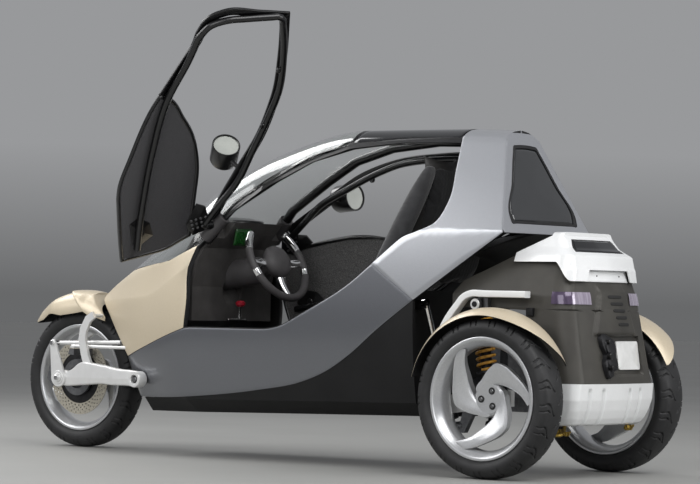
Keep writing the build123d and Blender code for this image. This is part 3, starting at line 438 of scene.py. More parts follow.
def plate(outline, y_low, y_high, paint=0):
    """An outline of (X, Z) points drawn along Y, both its edges softened by an inset ring."""
    outline = np.array(outline, float)
    middle = outline.mean(0)
    inset = unit(middle - outline) * min(2.5, (y_high - y_low) / 5)
    soft = min(2.0, (y_high - y_low) / 5)
    point, half = 0 * outline + middle, (outline + middle) / 2
    layers = [(point, y_low), (half, y_low), (outline + inset, y_low), (outline, y_low + soft),
              (outline, y_high - soft), (outline + inset, y_high), (half, y_high), (point, y_high)]
    points = np.stack([np.stack([xz[:, 0], np.full(len(xz), y), xz[:, 1]], -1) for xz, y in layers])
    return grid(points, round_cols=True, paint=paint)


def sizes_at(x):
    """Section sizes at x: a cubic through the table's rows that never overshoots (slopes are harmonic
    means)."""
    rows = SECTIONS
    step = np.diff(rows[:, 0])[:, None]
    rate = np.diff(rows[:, 1:], axis=0) / step
    slope = np.zeros_like(rows[:, 1:])
    same = rate[:-1] * rate[1:] > 0
    w1, w2 = 2 * step[1:] + step[:-1], step[1:] + 2 * step[:-1]
    with np.errstate(divide="ignore", invalid="ignore"):
        mean = (w1 + w2) / (w1 / rate[:-1] + w2 / rate[1:])
    slope[1:-1] = np.where(same, mean, 0)
    slope[0], slope[-1] = rate[0], rate[-1]
    x = np.clip(np.asarray(x, float), rows[0, 0], rows[-1, 0])
    i = np.clip(np.searchsorted(rows[:, 0], x, side="right") - 1, 0, len(rows) - 2)
    h = step[i, 0][..., None]
    t = (x - rows[i, 0])[..., None] / h
    return ((2 * t ** 3 - 3 * t ** 2 + 1) * rows[i, 1:] + (t ** 3 - 2 * t ** 2 + t) * h * slope[i]
            + (3 * t ** 2 - 2 * t ** 3) * rows[i + 1, 1:] + (t ** 3 - t ** 2) * h * slope[i + 1])


def skin(x, level, inset=0.0):
    """Point of the left flank at x. Level runs 0 floor edge, 1 sill, 2 belt, 3 rail, 4 crown: a line to the
    sill, a parabola over the bulge to the belt, a line to the rail, then a circle to the crown."""
    x, level = np.broadcast_arrays(np.asarray(x, float), np.asarray(level, float))
    fw, fz, sw, sz, bw, bz, ew, ez, rw, rz, cz = np.moveaxis(sizes_at(x), -1, 0)
    low, mid, high = clamped(level), clamped(level - 1), clamped(level - 2)
    side = 2 * bw - (sw + ew) / 2
    rise = 2 * bz - (sz + ez) / 2
    bulge_y = sw * (1 - mid) ** 2 + 2 * mid * (1 - mid) * side + mid ** 2 * ew
    bulge_z = sz * (1 - mid) ** 2 + 2 * mid * (1 - mid) * rise + mid ** 2 * ez
    y = np.where(level < 1, fw + (sw - fw) * low, np.where(level < 2, bulge_y, ew + (rw - ew) * high))
    z = np.where(level < 1, fz + (sz - fz) * low, np.where(level < 2, bulge_z, ez + (rz - ez) * high))
    sag = np.maximum(cz - rz, 1.0)
    radius = (rw ** 2 + sag ** 2) / (2 * sag)
    sweep = 2 * np.arctan2(sag, rw) * (4 - np.clip(level, 3, 4))
    y = np.where(level > 3, radius * np.sin(sweep), y)
    z = np.where(level > 3, cz - radius * (1 - np.cos(sweep)), z)
    points = np.stack([x, y, z], -1)
    if np.any(inset):
        dx, dl = 4.0, 0.02
        one = skin(x + dx, level) - skin(x - dx, level)
        two = skin(x, np.clip(level + dl, 0, 4)) - skin(x, np.clip(level - dl, 0, 4))
        normal = unit(np.cross(one, two))
        normal = normal * np.sign(normal[..., 1:2] * np.maximum(y[..., None], 1) + normal[..., 2:]
                                  * (z - 600)[..., None])
        points = points - normal * np.asarray(inset)[..., None]
    return points


def level_of(x, z):
    """The level at which the flank passes height z: the four runs of skin() turned round."""
    _, fz, _, sz, _, bz, _, ez, rw, rz, cz = np.moveaxis(sizes_at(x), -1, 0)
    rise = 2 * bz - (sz + ez) / 2
    a, b, c = sz - 2 * rise + ez, 2 * (rise - sz), sz - z
    root = np.sqrt(np.maximum(b * b - 4 * a * c, 0))
    bow = np.where(np.abs(a) < 1e-6, -c / b, 2 * -c / (b + root))
    sag = np.maximum(cz - rz, 1.0)
    radius = (rw ** 2 + sag ** 2) / (2 * sag)
    turn = np.arccos(np.clip(1 - (cz - z) / radius, -1, 1)) / (2 * np.arctan2(sag, rw))
    above_belt = np.where(z < rz, 2 + (z - ez) / (rz - ez), 4 - clamped(turn))
    return np.where(z < sz, (z - fz) / (sz - fz), np.where(z < ez, 1 + clamped(bow), above_belt))


def on_skin(points, inset=0.0):
    """Side view points of (X, Z) carried on to the skin, or that far inside it."""
    return skin(points[..., 0], level_of(points[..., 0], points[..., 1]), inset)


def sideways(line):
    """Unit vectors a quarter turn to the left of a flat line's run."""
    run = unit(np.gradient(line, axis=0))
    return np.stack([-run[:, 1], run[:, 0]], -1)


def rear_face_x(z, lift=0.0):
    """Place of the sloping rear face at a height, or lift behind it: 139 forward over 419 up."""
    return 37 + (z - 926) * 139 / 419 - lift


def patch(bottom, right, top, left):
    """Skin between four side view lines of (X, Z) points: the lines are carried to place and level, and the
    inside is the sum of the two ruled surfaces between opposite lines less the one between the corners."""
    b, r, t, l = [np.stack([line[:, 0], level_of(line[:, 0], line[:, 1])], -1)
                  for line in (bottom, right, top, left)]
    u = np.linspace(0, 1, len(b))[:, None, None]
    v = np.linspace(0, 1, len(l))[None, :, None]
    flat = ((1 - v) * b[:, None] + v * t[:, None] + (1 - u) * l[None] + u * r[None] - (1 - u) * (1 - v)
            * b[0] - u * (1 - v) * b[-1] - (1 - u) * v * t[0] - u * v * t[-1])
    return outward(grid(skin(flat[..., 0], flat[..., 1])), (1000, 0, 700))


def over_top(edge):
    """Skin from a left edge of (X, Z) points over the crown to the same edge on the right."""
    level = level_of(edge[:, 0], edge[:, 1])
    v = np.linspace(-1, 1, 33)
    points = skin(edge[:, None, 0] + 0 * v, 4 - (4 - level)[:, None] * np.abs(v))
    points[..., 1] *= np.sign(-v) + (v == 0)
    points[:, v == 0, 1] = 0
    return outward(grid(points), (1200, 0, 400))


GLASS_LINE = [(2126, 760), (1760, 806), (1590, 868), (1518, 950), (1442, 1028), (1240, 1146), (1075, 1228),
              (880, 1279)]
DOOR_LOW = [(702, 762), (743, 731), (962, 614), (1108, 550), (1165, 542)]
DOOR_BELT = [(704, 770), (747, 815), (892, 876), (994, 911), (1084, 927), (1180, 929), (1318, 911),
             (1400, 894), (1548, 856)]
DOOR_FRONT = [(1540, 539), (1572, 640), (1588, 760), (1548, 856)]
DOOR_RIM_REAR = [(702, 762), (547, 883), (505, 914), (434, 939), (368, 975), (341, 1043), (375, 1160),
                 (407, 1262)]
DOOR_RIM_TOP = [(407, 1262), (640, 1257), (880, 1235), (1075, 1182), (1240, 1100), (1400, 1013), (1496, 957)]
RING = [(1492, 915), (1400, 985), (1309, 1052), (1153, 1122), (992, 1184), (833, 1226), (650, 1240),
        (446, 1234), (416, 1231), (404, 1219), (401, 1196), (390, 1100), (385, 1045), (402, 982), (462, 940),
        (575, 882), (716, 796), (985, 712), (1249, 657), (1500, 615)]


def door_parts():
    """Left door, shut: the panel is skin between four lines; strip and border are bands of skin drawn inwards
    from an edge, square to it; the ring is a round tube along a line at one depth behind the skin."""
    low = np.vstack([along(DOOR_LOW, 41)[:-1], along([(1165, 542), (1540, 539)], 20)])
    front, belt = along(DOOR_FRONT, 24), along(DOOR_BELT, 60)
    panel = patch(low, front, belt, along([(702, 762), (704, 770)], 24))
    outline = np.vstack([low, front[1:], belt[::-1][1:]])
    border = outline[:, None] + sideways(outline)[:, None] * np.array([1.0, 8, 15])[None, :, None]
    border = grid(on_skin(border, np.array([9.3, 11.5, 9.4])))
    rim = np.vstack([along(DOOR_RIM_REAR, 70)[:-1], along(DOOR_RIM_TOP, 90)])
    inward = -sideways(rim)
    inward[69] *= 1.35
    wide = np.linspace(0, 34, 5)
    strip = rim[:, None] + inward[:, None] * wide[None, :, None]
    tube = swept(on_skin(along(RING, 170), TUBE_DEPTH), circle(14), (0, 1, 0))
    return panel, grid(on_skin(strip)), tube, border


class OBJECT_OT_cabin_panels(bpy.types.Operator):
    """Painted panels and glass of the cabin, as thick sheets of the cabin's skin"""
    bl_idname = "three_wheeler.cabin_panels"
    bl_label = "Cabin panels"

    def execute(self, context):
        """Each panel is skin between four side view lines and its mirror image; the seal is a lip profile
        carried along the opening's edge, square to it."""
        sizes = context.scene.three_wheeler_sizes
        hem = np.vstack([along([(639, 799), (737, 725), (960, 605), (1106, 541), (1160, 533)], 51)[:-1],
                         along([(1160, 533), (1545, 531), (1590, 528), (2009, 401)], 40, False)])
        side = patch(along([(431, 664), (600, 546), (745, 438), (849, 378), (997, 325), (1200, 290),
                            (1511, 255), (1850, 237), (1934, 237)], 90),
                     along([(1934, 237), (2009, 401)], 30),
                     hem + (0, -0.5), along([(431, 664), (639, 799)], 30))
        make("side_skins", [side, mirrored(side)], ["silver_side", "tub_plastic"], "cabin",
             ["side_panels"], solid=sizes.wall, bevel=0.0012, closed=False)
        nose = patch(corners([(1591, 530), (2010, 403), (2186, 574), (2269, 645)], (40, 26, 12)),
                     along([(2269, 645), (2262, 660)], 28),
                     corners([(1590, 867), (1760, 805), (2126, 757), (2262, 660)], (28, 32, 18)),
                     along([(1591, 530), (1583, 640), (1601, 780), (1590, 867)], 28))
        make("nose_skin", [nose, mirrored(nose)], ["champagne", "tub_plastic"], "cabin",
             ["nose_panel"], solid=0.006, bevel=0.0012, closed=False)
        heights = np.linspace(926, 1318, 40)
        rear_edge = np.stack([rear_face_x(heights), heights], -1)
        crown = sizes_at(np.array([167.0, 367.0]))[:, -1]
        front_edge = np.vstack([corners([(431, 664), (639, 799), (560, 862)], (9, 5))[:-1],
                                along([(560, 862), (500, 905), (430, 930), (360, 966), (332, 1040),
                                       (345, 1180), (361, 1295), (367, crown[1] - 0.1)], 101)])
        # the shell is two patches that meet on a level line from the rear edge to the opening's lower corner
        seam = corners([(48.3, 960), front_edge[51]], (30,))
        lower = patch(corners([(38, 926), (431, 664)], (72,)), front_edge[:10],
                      np.vstack([seam[:-1], front_edge[51:8:-1]]), corners([(38, 926), (48.3, 960)], (9,)))
        upper = patch(seam, front_edge[51:], corners([(167, crown[0] - 0.1), (367, crown[1] - 0.1)], (30,)),
                      along(np.vstack([(48.3, 960), rear_edge[4:], (167, crown[0] - 0.1)]), 64, False))
        window = along([(234, 985), (228, 962), (200, 962), (0, 962), (-200, 962), (-228, 962), (-234, 985),
                        (-160, 1120), (-96, 1240), (-78, 1268), (-60, 1270), (60, 1270), (78, 1268),
                        (96, 1240), (160, 1120)], 120, close=True)
        make("rear_quarters", [lower, upper, mirrored(lower), mirrored(upper)] + self.rear_face(window),
             ["silver_quarter", "tub_plastic"], "cabin", ["rear_shell"], solid=sizes.wall,
             bevel=0.004, closed=False, sharp=50)
        self.rear_glass(window)
        sill = np.vstack([along([(639, 799), (737, 725), (960, 605), (1106, 541), (1160, 533)], 90)[:-1],
                          along([(1160, 533), (1545, 531), (1588, 529)], 30, False)[:-1]])
        edge = np.vstack([front_edge[::-1][1:-9], sill,
                          along([(1591, 530), (1583, 640), (1601, 780), (1590, 867)], 40)])
        profile = np.array([(-2.0, 3), (4.0, 4), (4.6, 8), (4.6, 18), (-2.0, 19)])
        flat = edge[:, None] + sideways(edge)[:, None] * profile[None, :, :1]
        lip = grid(on_skin(flat, profile[:, 1]), round_cols=True)
        make("opening_seal", [lip, mirrored(lip)], ["seal_rubber"], "cabin", sharp=50)
        make("windscreen_glass", [over_top(along(GLASS_LINE, 60))], ["clear_glass"], "cabin",
             ["windscreen"], solid=sizes.glass, bevel=0.001, closed=False)
        make("roof_glass", [over_top(along([(878, 1281), (640, 1303), (373, 1303)], 30))], ["roof_glass"],
             "cabin", ["roof_panel"], solid=sizes.glass, bevel=0.001, closed=False)
        return {"FINISHED"}

    def rear_plane(self, yz, lift=0.0):
        """Points of (Y, Z) put on the sloping rear face, lift millimetres behind it."""
        return np.stack([rear_face_x(yz[..., 1], lift), yz[..., 0], yz[..., 1]], -1)

    def rear_face(self, window):
        """The rear face as a ring between the window's edge and the shell's own edge, matched by
        direction."""
        heights = np.linspace(926, 1338, 400)
        half = on_skin(np.stack([rear_face_x(heights), heights], -1))[:, 1]
        outline = np.vstack([np.stack([half, heights], -1), np.stack([-half, heights], -1)[::-1]])
        outline = along(np.vstack([outline, outline[:1]]), 900, False)
        middle = np.array([0, 1090.0])
        angle = np.arctan2(*(outline - middle).T[::-1])
        want = np.arctan2(*(window - middle).T[::-1])
        order = np.argsort(angle)
        outer = np.stack([np.interp(want, angle[order], outline[order, k], period=2 * pi) for k in (0, 1)],
                         -1)
        blend = np.linspace(0, 1, 6)[:, None, None]
        ring = self.rear_plane(outer * (1 - blend) + window * blend)
        return [outward(grid(ring, round_cols=True), (600, 0, 1090))]

    def rear_glass(self, window):
        """Tinted pane with a black rubber edge, a shallow dome inside the window's line."""
        middle = np.array([0, 1100.0])
        rings = [(1.0, -3), (0.985, 0.5), (0.93, 0.5), (0.92, -1.5)]
        edge = np.stack([self.rear_plane(middle + (window - middle) * s, lift) for s, lift in rings])
        make("rear_window_seal", [outward(grid(edge, round_cols=True), (600, 0, 1090))], ["seal_rubber"],
             "cabin", solid=SHEET, closed=False)
        pane = np.stack([self.rear_plane(middle + (window - middle) * s, -2 + 3 * (1 - s))
                         for s in np.linspace(0.935, 0, 12)])
        make("rear_window_pane", [outward(grid(pane, round_cols=True), (600, 0, 1090))], ["tinted_glass"],
             "cabin", ["rear_window"], solid=SHEET, closed=False)


class OBJECT_OT_doors(bpy.types.Operator):
    """Both doors: carpeted panel, edge strip, ring tube, hinge sleeve and cup mirror"""
    bl_idname = "three_wheeler.doors"
    bl_label = "Doors"

    def execute(self, context):
        """Both doors are drawn as the left one, shut; the left is turned back about its hinge, the right is
        the mirror image."""
        panel, strip, tube, border = door_parts()
        axis = unit(HINGE_AXIS)
        sleeve = rod(HINGE - axis * 70, HINGE + axis * 52, 30, count=36)
        ring_end = on_skin(np.array([1492.0, 915.0]), TUBE_DEPTH)
        arm = rod(HINGE, ring_end, 19)
        stalk = rod((1250, 300, 1075), on_skin(np.array([1256.0, 1082.0]), 18.0), 9)
        for side, place in ((1, "left"), (-1, "right")):
            def hung(part):
                points, faces, paint = part
                if side == 1:
                    return turned(points, -DOOR_OPEN), faces, paint
                return mirrored(part)
            # the far door's carpet is painted lighter, as painted light
            make(f"door_skin_{place}", [hung(panel)],
                 ["silver_side", "carpet" if side == 1 else "carpet_light", "powder_black"],
                 f"door_{place}", [f"door_panel_{place}"],
                 solid=DOOR_SHEET, bevel=0.001, closed=False)
            make(f"door_strip_{place}", [hung(strip)], ["powder_black"], f"door_{place}",
                 [f"door_frame_{place}"], solid=DOOR_SHEET, bevel=0.001, closed=False)
            make(f"door_ring_{place}", [hung(part) for part in tube] + [hung(arm), hung(stalk)],
                 ["powder_black"], f"door_{place}")
            make(f"door_hinge_{place}", [hung(sleeve)], ["column_grey"], f"door_{place}")
            make(f"door_fittings_{place}", [hung(part) for part in self.fittings()],
                 ["powder_black", "bolt_steel"], f"door_{place}", sharp=40)
            make(f"door_border_{place}", [hung(border)], ["powder_black"], f"door_{place}",
                 solid=0.002, closed=False)
            cup = self.cup()
            # the mirror's glass carries a painted reflection
            make(f"mirror_cup_{place}", [hung(part) for part in cup], ["powder_black", "mirror_glass"],
                 f"door_{place}", [f"mirror_{place}"])
        return {"FINISHED"}

    def fittings(self):
        """Tabs on the ring, latch cover, hinge plate with its bolts, and a pull recess on the panel's inner
        side. Plates are outlines of (X, Z) laid on the skin, their edges drawn from the middle outwards."""
        def laid(outline, low, high):
            outline = along(np.vstack([outline, outline[:1]]), 121, False)[:-1]
            middle = outline.mean(0)
            rows = []
            for share, depth in ((0, low), (1, low), (1, high - 1.5), (0.96, high), (0, high)):
                ring = middle + (outline - middle) * share
                rows.append(on_skin(ring, depth))
            return grid(np.stack(rows), round_cols=True)

        parts = []
        for x, z in ((1010, 1180), (700, 1238)):
            at = on_skin(np.array([x, z], float), TUBE_DEPTH)
            parts.append(rod(at + (0, 5, -17), at + (0, -5, -17), 13, 0, 28))
        parts.append(laid([(1392, 900), (1412, 930), (1480, 934), (1528, 908), (1544, 862), (1490, 846)], 8,
                          15))
        parts.append(laid([(1350, 596), (1470, 600), (1500, 640), (1480, 700), (1400, 690), (1340, 640)], 9,
                          13))
        for x in (1470, 1490, 1510):
            for z in (868, 884, 900, 916):
                spot = skin(float(x + (z - 868) * -0.2), level_of(np.array(float(x)), np.array(float(z))),
                            np.array([15.0, 21.0]))
                parts.append(rod(spot[0], spot[1], 5.5, 1, 10))
        spot = on_skin(np.array([1432.0, 648.0]), np.array([12.0, 19.0]))
        parts.append(rod(spot[0], spot[1], 13, 0, 24))
        return parts

    def cup(self):
        """Mirror cup, a turned profile closed by its glass at the rear."""
        front, rear = np.array([1308, 327.7, 1078.3]), np.array([1206, 318, 1088.0])
        way = unit(rear - front)
        side = unit(np.cross(way, (0, 0, 1)))
        length = float(np.linalg.norm(rear - front))
        body = [(0, 0), (42, 0), (53, 5), (57, 14), (58, length - 3), (57, length), (53, length),
                (51, length - 4), (51, length - 9), (0, length - 9)]
        glass = [(0, length - 8.5), (30, length - 8), (50.5, length - 6), (50.8, length - 9), (0, length - 9)]
        return [lathed(body, front, way, side), lathed(glass, front, way, side, 1)]


def tyre_part(width, lip, centre, depth):
    """A tyre: the outer line is turned about the axle, and curved grooves that sweep from the middle to each
    shoulder sink into it, half a pitch apart from side to side."""
    half, shoulder = width / 2, WHEEL_RADIUS - 9
    wall = (WHEEL_RADIUS + lip) / 2
    line = along([(BEAD, half - 17), (lip + 2, half - 14), (lip + 8, half - 8), (wall, half - 0.5),
                  (shoulder - 12, half - 5), (shoulder - 1, half - 14), (WHEEL_RADIUS - 3.5, half * 0.55),
                  (WHEEL_RADIUS - 0.8, half * 0.25), (WHEEL_RADIUS, 0)], 44)
    line = np.vstack([line, line[:-1][::-1] * (1, -1)])
    inner = [(BEAD, -half + 17), (BEAD, 0), (BEAD, half - 17)]
    angle = np.linspace(0, 2 * pi, 1080, endpoint=False)
    across = line[:, 1] / half
    side = np.sign(across)
    phase = (angle[:, None] / (2 * pi) * TREAD_PITCHES + 0.5 * (side[None, :] > 0)) % 1
    reach = np.abs(across)[None, :]
    gap = np.zeros((1080, len(line)))
    for start, low, high, width_mm in ((0.08, 0.12, 0.99, 3.4), (0.36, 0.50, 0.97, 3.0)):
        curve = (start + 0.55 * (1 - reach) ** 1.5 + 0.10 * np.sin(reach * 8)) % 1
        away = np.abs((phase - curve + 0.5) % 1 - 0.5) * 2 * pi * WHEEL_RADIUS / TREAD_PITCHES
        inside = (reach > low) & (reach < high)
        gap = np.maximum(gap, clamped(1.4 - (away / width_mm) ** 4) * inside)
    outer = clamped((line[:, 0] - (shoulder - 22)) / 8)[None, :]
    radius = line[None, :, 0] - depth * gap * outer
    points = np.stack([np.cos(angle)[:, None] * radius, np.broadcast_to(line[:, 1], radius.shape),
                       np.sin(angle)[:, None] * radius], -1)
    bead = np.array(inner)
    back = np.stack([np.cos(angle)[:, None] * bead[:, 0], np.broadcast_to(bead[:, 1], (1080, 3)),
                     np.sin(angle)[:, None] * bead[:, 0]], -1)
    return grid(np.concatenate([points, back], 1) + np.array(centre, float), round_rows=True, round_cols=True)


def rim_profile(width, lip):
    """Turned barrel of a wheel: bright lip, stepped well, and a wall towards the far side, as a closed
    line."""
    edge = width / 2 - 18
    return along([(lip - 1, edge + 7), (lip, edge + 3), (BEAD + 0.5, edge), (BEAD - 1, edge - 4),
                  (BEAD - 2, 10), (BEAD - 2, -10), (BEAD - 1, -edge + 4), (BEAD + 0.5, -edge),
                  (lip, -edge - 3), (lip - 1, -edge - 7), (lip - 5, -edge - 8), (BEAD - 12, -edge + 12),
                  (BEAD - 20, -edge + 34), (BEAD - 22, 0), (BEAD - 20, edge - 26), (BEAD - 10, edge - 8),
                  (lip - 7, edge + 8)], 90, close=True)


BLADE_OUTER = ((43, 6), (68, 30), (78, 66), (112, 93), (140, 108), (150, 125), (160, 143), (188, 163),
               (222, 179))
BLADE_INNER = ((50, 96), (57, 111), (74, 134), (93, 148.6), (126, 164), (163, 175), (200, 185.6))


def swirl(turn, outer_y, hub_y, thick):
    """One bent spoke: a ruled face between an outer and an inner border, out from the hub, over an elbow and
    round to the rim, crowned across, with side walls drawn inwards by its thickness."""
    outer = along([polar(*corner) for corner in BLADE_OUTER], 70)
    inner = along([polar(*corner) for corner in BLADE_INNER], 70)
    across = np.linspace(0, 1, 11)[None, :, None]
    flat = outer[:, None] * (1 - across) + inner[:, None] * across
    radius = np.linalg.norm(flat, axis=-1)
    rise = clamped((radius - 50) / 150)
    crown = 5 * (1 - (2 * across[..., 0] - 1) ** 4) * np.clip((215 - radius) / 60, 0.2, 1)
    face = np.stack([flat[..., 0], hub_y + (outer_y - hub_y) * rise ** 1.1 + crown, flat[..., 1]], -1)
    face *= np.where(radius > 214, 214 / radius, 1)[..., None] ** np.array([1, 0, 1])
    back = face - np.array([0, 1, 0]) * (thick * np.clip((240 - radius) / 120, 0.4, 1))[..., None]
    loop = np.concatenate([face, back[:, ::-1]], 1)
    cap = [np.repeat(loop[k:k + 1].mean(1, keepdims=True), loop.shape[1], 1) for k in (0, -1)]
    loop = np.concatenate([cap[0], loop, cap[1]])
    a = radians(turn)
    x, z = loop[..., 0] * cos(a) - loop[..., 2] * sin(a), loop[..., 0] * sin(a) + loop[..., 2] * cos(a)
    return grid(np.stack([x, loop[..., 1], z], -1), round_cols=True)


def polar(radius, angle):
    """X and Z of a radius at an angle in degrees."""
    return radius * cos(radians(angle)), radius * sin(radians(angle))


def moved(part, centre, side=1):
    """A part of a wheel drawn round its middle put in its place, mirrored for the right side."""
    points, faces, paint = part if side == 1 else mirrored(part)
    return points + np.array(centre, float), faces, paint


class OBJECT_OT_wheels(bpy.types.Operator):
    """Tyres with tread, swirl spoked rims and the front brake disc"""
    bl_idname = "three_wheeler.wheels"
    bl_label = "Wheels"

    def execute(self, context):
        """Tyre, barrel and hub are turned profiles; three swirl blades stand a third of a turn apart."""
        depth = context.scene.three_wheeler_sizes.tread * 1000
        for side, place in ((1, "left"), (-1, "right")):
            centre = (0, side * HALF_TRACK, WHEEL_RADIUS)
            make(f"tyre_rear_{place}", [moved(tyre_part(REAR_WIDTH, 232, (0, 0, 0), depth), centre, side)],
                 ["tyre_rubber"], f"rear_wheel_{place}", [f"rear_tyre_{place}"], sharp=60)
            barrel = spun(rim_profile(REAR_WIDTH, 232), (0, 0, 0), 144)
            blades = [swirl(turn, 44, 2, 30) for turn in (0, 120, 240)]
            hub = spun([(0, 6), (56, 8), (64, 2), (66, -14), (46, -60), (0, -60)], (0, 0, 0), 72,
                       closed_profile=False)
            bolts = [part for turn in (116, 236, 356) for part in self.bolt(turn, 33, 6)]
            parts = [moved(part, centre, side) for part in barrel + blades + hub + bolts]
            # the bolt wells are painted dark as shade
            make(f"rim_rear_{place}", parts, ["wheel_alloy", "dark_recess", "bolt_steel"],
                 f"rear_wheel_{place}", [f"rear_rim_{place}"], sharp=32)
        centre = (WHEELBASE, 0, WHEEL_RADIUS)
        make("tyre_front", [tyre_part(FRONT_WIDTH, 229, centre, depth)], ["tyre_rubber"], "front_wheel",
             ["front_tyre"], sharp=60)
        barrel = spun(rim_profile(FRONT_WIDTH, 229), (0, 0, 0), 144)
        blades = [swirl(turn, 14, -8, 24) for turn in (40, 160, 280)]
        hub = spun([(60.2, -34), (86, -34), (88, 10), (86, 40), (60.2, 40)], (0, 0, 0), 72)
        make("rim_front", [moved(part, centre) for part in barrel + blades + hub], ["wheel_alloy"],
             "front_wheel", ["front_rim"], sharp=32)
        make("brake_disc", [moved(part, centre) for part in self.disc()], ["disc_steel", "dark_steel"],
             "front_wheel", closed=False)
        return {"FINISHED"}

    def bolt(self, turn, out, y):
        """A countersunk wheel bolt: a well painted dark as shade, with a steel head in it."""
        x, z = polar(out, turn)
        well = spun([(0, y + 3.4), (11, y + 3.4), (12.5, y + 4.4), (13.5, y + 3.0), (13.5, y - 3)], (x, 0, z),
                    28, paint=1, closed_profile=False)
        head = spun([(0, y + 6), (6.5, y + 6), (7.5, y + 5), (7.5, y)], (x, 0, z), 6, paint=2,
                    closed_profile=False)
        return well + head

    def disc(self):
        """Brake disc: two flat rings of a grid whose cells at the holes are left out, walled at every
        edge."""
        rows, cols = 22, 360
        radius = np.linspace(112, 160, rows)
        angle = np.linspace(0, 2 * pi, cols, endpoint=False)
        front, back = [np.stack([np.cos(angle)[None] * radius[:, None], np.full((rows, cols), y),
                                 np.sin(angle)[None] * radius[:, None]], -1).reshape(-1, 3)
                       for y in (48.0, 43.0)]
        cells = quads(rows, cols, round_cols=True)
        r = (cells[:, 0] // cols + 0.5) * (48 / (rows - 1)) + 112
        a = (cells[:, 0] % cols + 0.5) / cols * 360
        holes = np.zeros(len(cells), bool)
        for ring, (out, phase) in enumerate(((121, 0), (131, 5), (141, 1), (151, 6))):
            near = (a - phase) % 10
            near = np.minimum(near, 10 - near) * pi / 180 * out
            holes |= np.hypot(near, r - out) < 3.6
        kept = cells[~holes]
        total = len(front)
        edges = np.vstack([kept[:, [i, (i + 1) % 4]] for i in range(4)])
        key = np.sort(edges, 1)
        _, index, count = np.unique(key, axis=0, return_index=True, return_counts=True)
        rim = edges[index[count == 1]]
        walls = np.stack([rim[:, 0], rim[:, 0] + total, rim[:, 1] + total, rim[:, 1]], -1)
        faces = np.vstack([kept, kept[:, ::-1] + total, walls])
        ring = (np.vstack([front, back]), faces, 0)
        carrier = spun([(60, 38), (60, 46), (100, 46), (114, 44), (114, 42), (96, 38)], (0, 0, 0), 90,
                       paint=1)
        return [ring] + carrier


# Plan outlines of the engine cover: height, rear, front, half width, corner and how far the rear face bows
COVER = np.array([(362, -313, -60, 288, 60, 26), (440, -301, -58, 283, 60, 32), (540, -286, -50, 276, 58, 38),
                  (638, -272, -41, 268, 56, 42), (640, -271, 296, 268, 56, 42), (690, -264, 300, 264, 54, 44),
                  (742, -250, 262, 246, 50, 42), (792, -235, 152, 228, 46, 34), (850, -196, 35, 200, 40, 24),
                  (900, -158, -72, 177, 34, 14), (918, -138, -110, 168, 14, 6)], float)
LOWER = np.array([(204, -266, -130, 250, 40, 30), (210, -278, -126, 262, 40, 30),
                  (230, -291, -122, 272, 40, 30), (260, -302, -118, 281, 40, 28),
                  (300, -311, -118, 288, 38, 26), (361.5, -316, -118, 287, 38, 26)], float)


def row_at(z, table, extra):
    """Rear, front, half width, corner and bow of a plan outline at one height, grown by extra."""
    x0, x1, w, cut, bow = [np.interp(z, table[:, 0], table[:, k]) for k in range(1, 6)]
    return x0 - extra, x1 + extra, w + extra, cut, bow


def rear_at(y, z, extra=0.0, table=COVER):
    """Place of the bowed rear face: it falls forward with the power 1.5 of the distance from the middle."""
    x0, _, w, _, bow = row_at(z, table, extra)
    return x0 + bow * (np.abs(y) / w) ** 1.5


def half_outline(z, extra=0.0, table=COVER):
    """Left half of a plan outline: the bowed rear face, a quarter ellipse and the flat side."""
    _, x1, w, cut, _ = row_at(z, table, extra)
    y = np.linspace(0, w - cut, 24)
    quarter = np.linspace(0, pi / 2, 14)[1:]
    start = rear_at(w - cut, z, extra, table)
    reach = min(cut * 1.3, x1 - 6 - start)
    corner = np.stack([start + reach * (1 - np.cos(quarter)), w - cut * (1 - np.sin(quarter))], -1)
    return np.vstack([np.stack([rear_at(y, z, extra, table), y], -1), corner,
                      [(x1 - 5, w - 1), (x1, w - 8), (x1, 0)]])


def cover_ring(z, extra=0.0, count=140, table=COVER):
    """The whole plan outline at one height, evenly divided."""
    half = half_outline(z, extra, table)
    whole = np.vstack([half, half[::-1][1:] * (1, -1)])
    return np.column_stack([along(whole, count + 1, False)[:-1], np.full(count, z)])


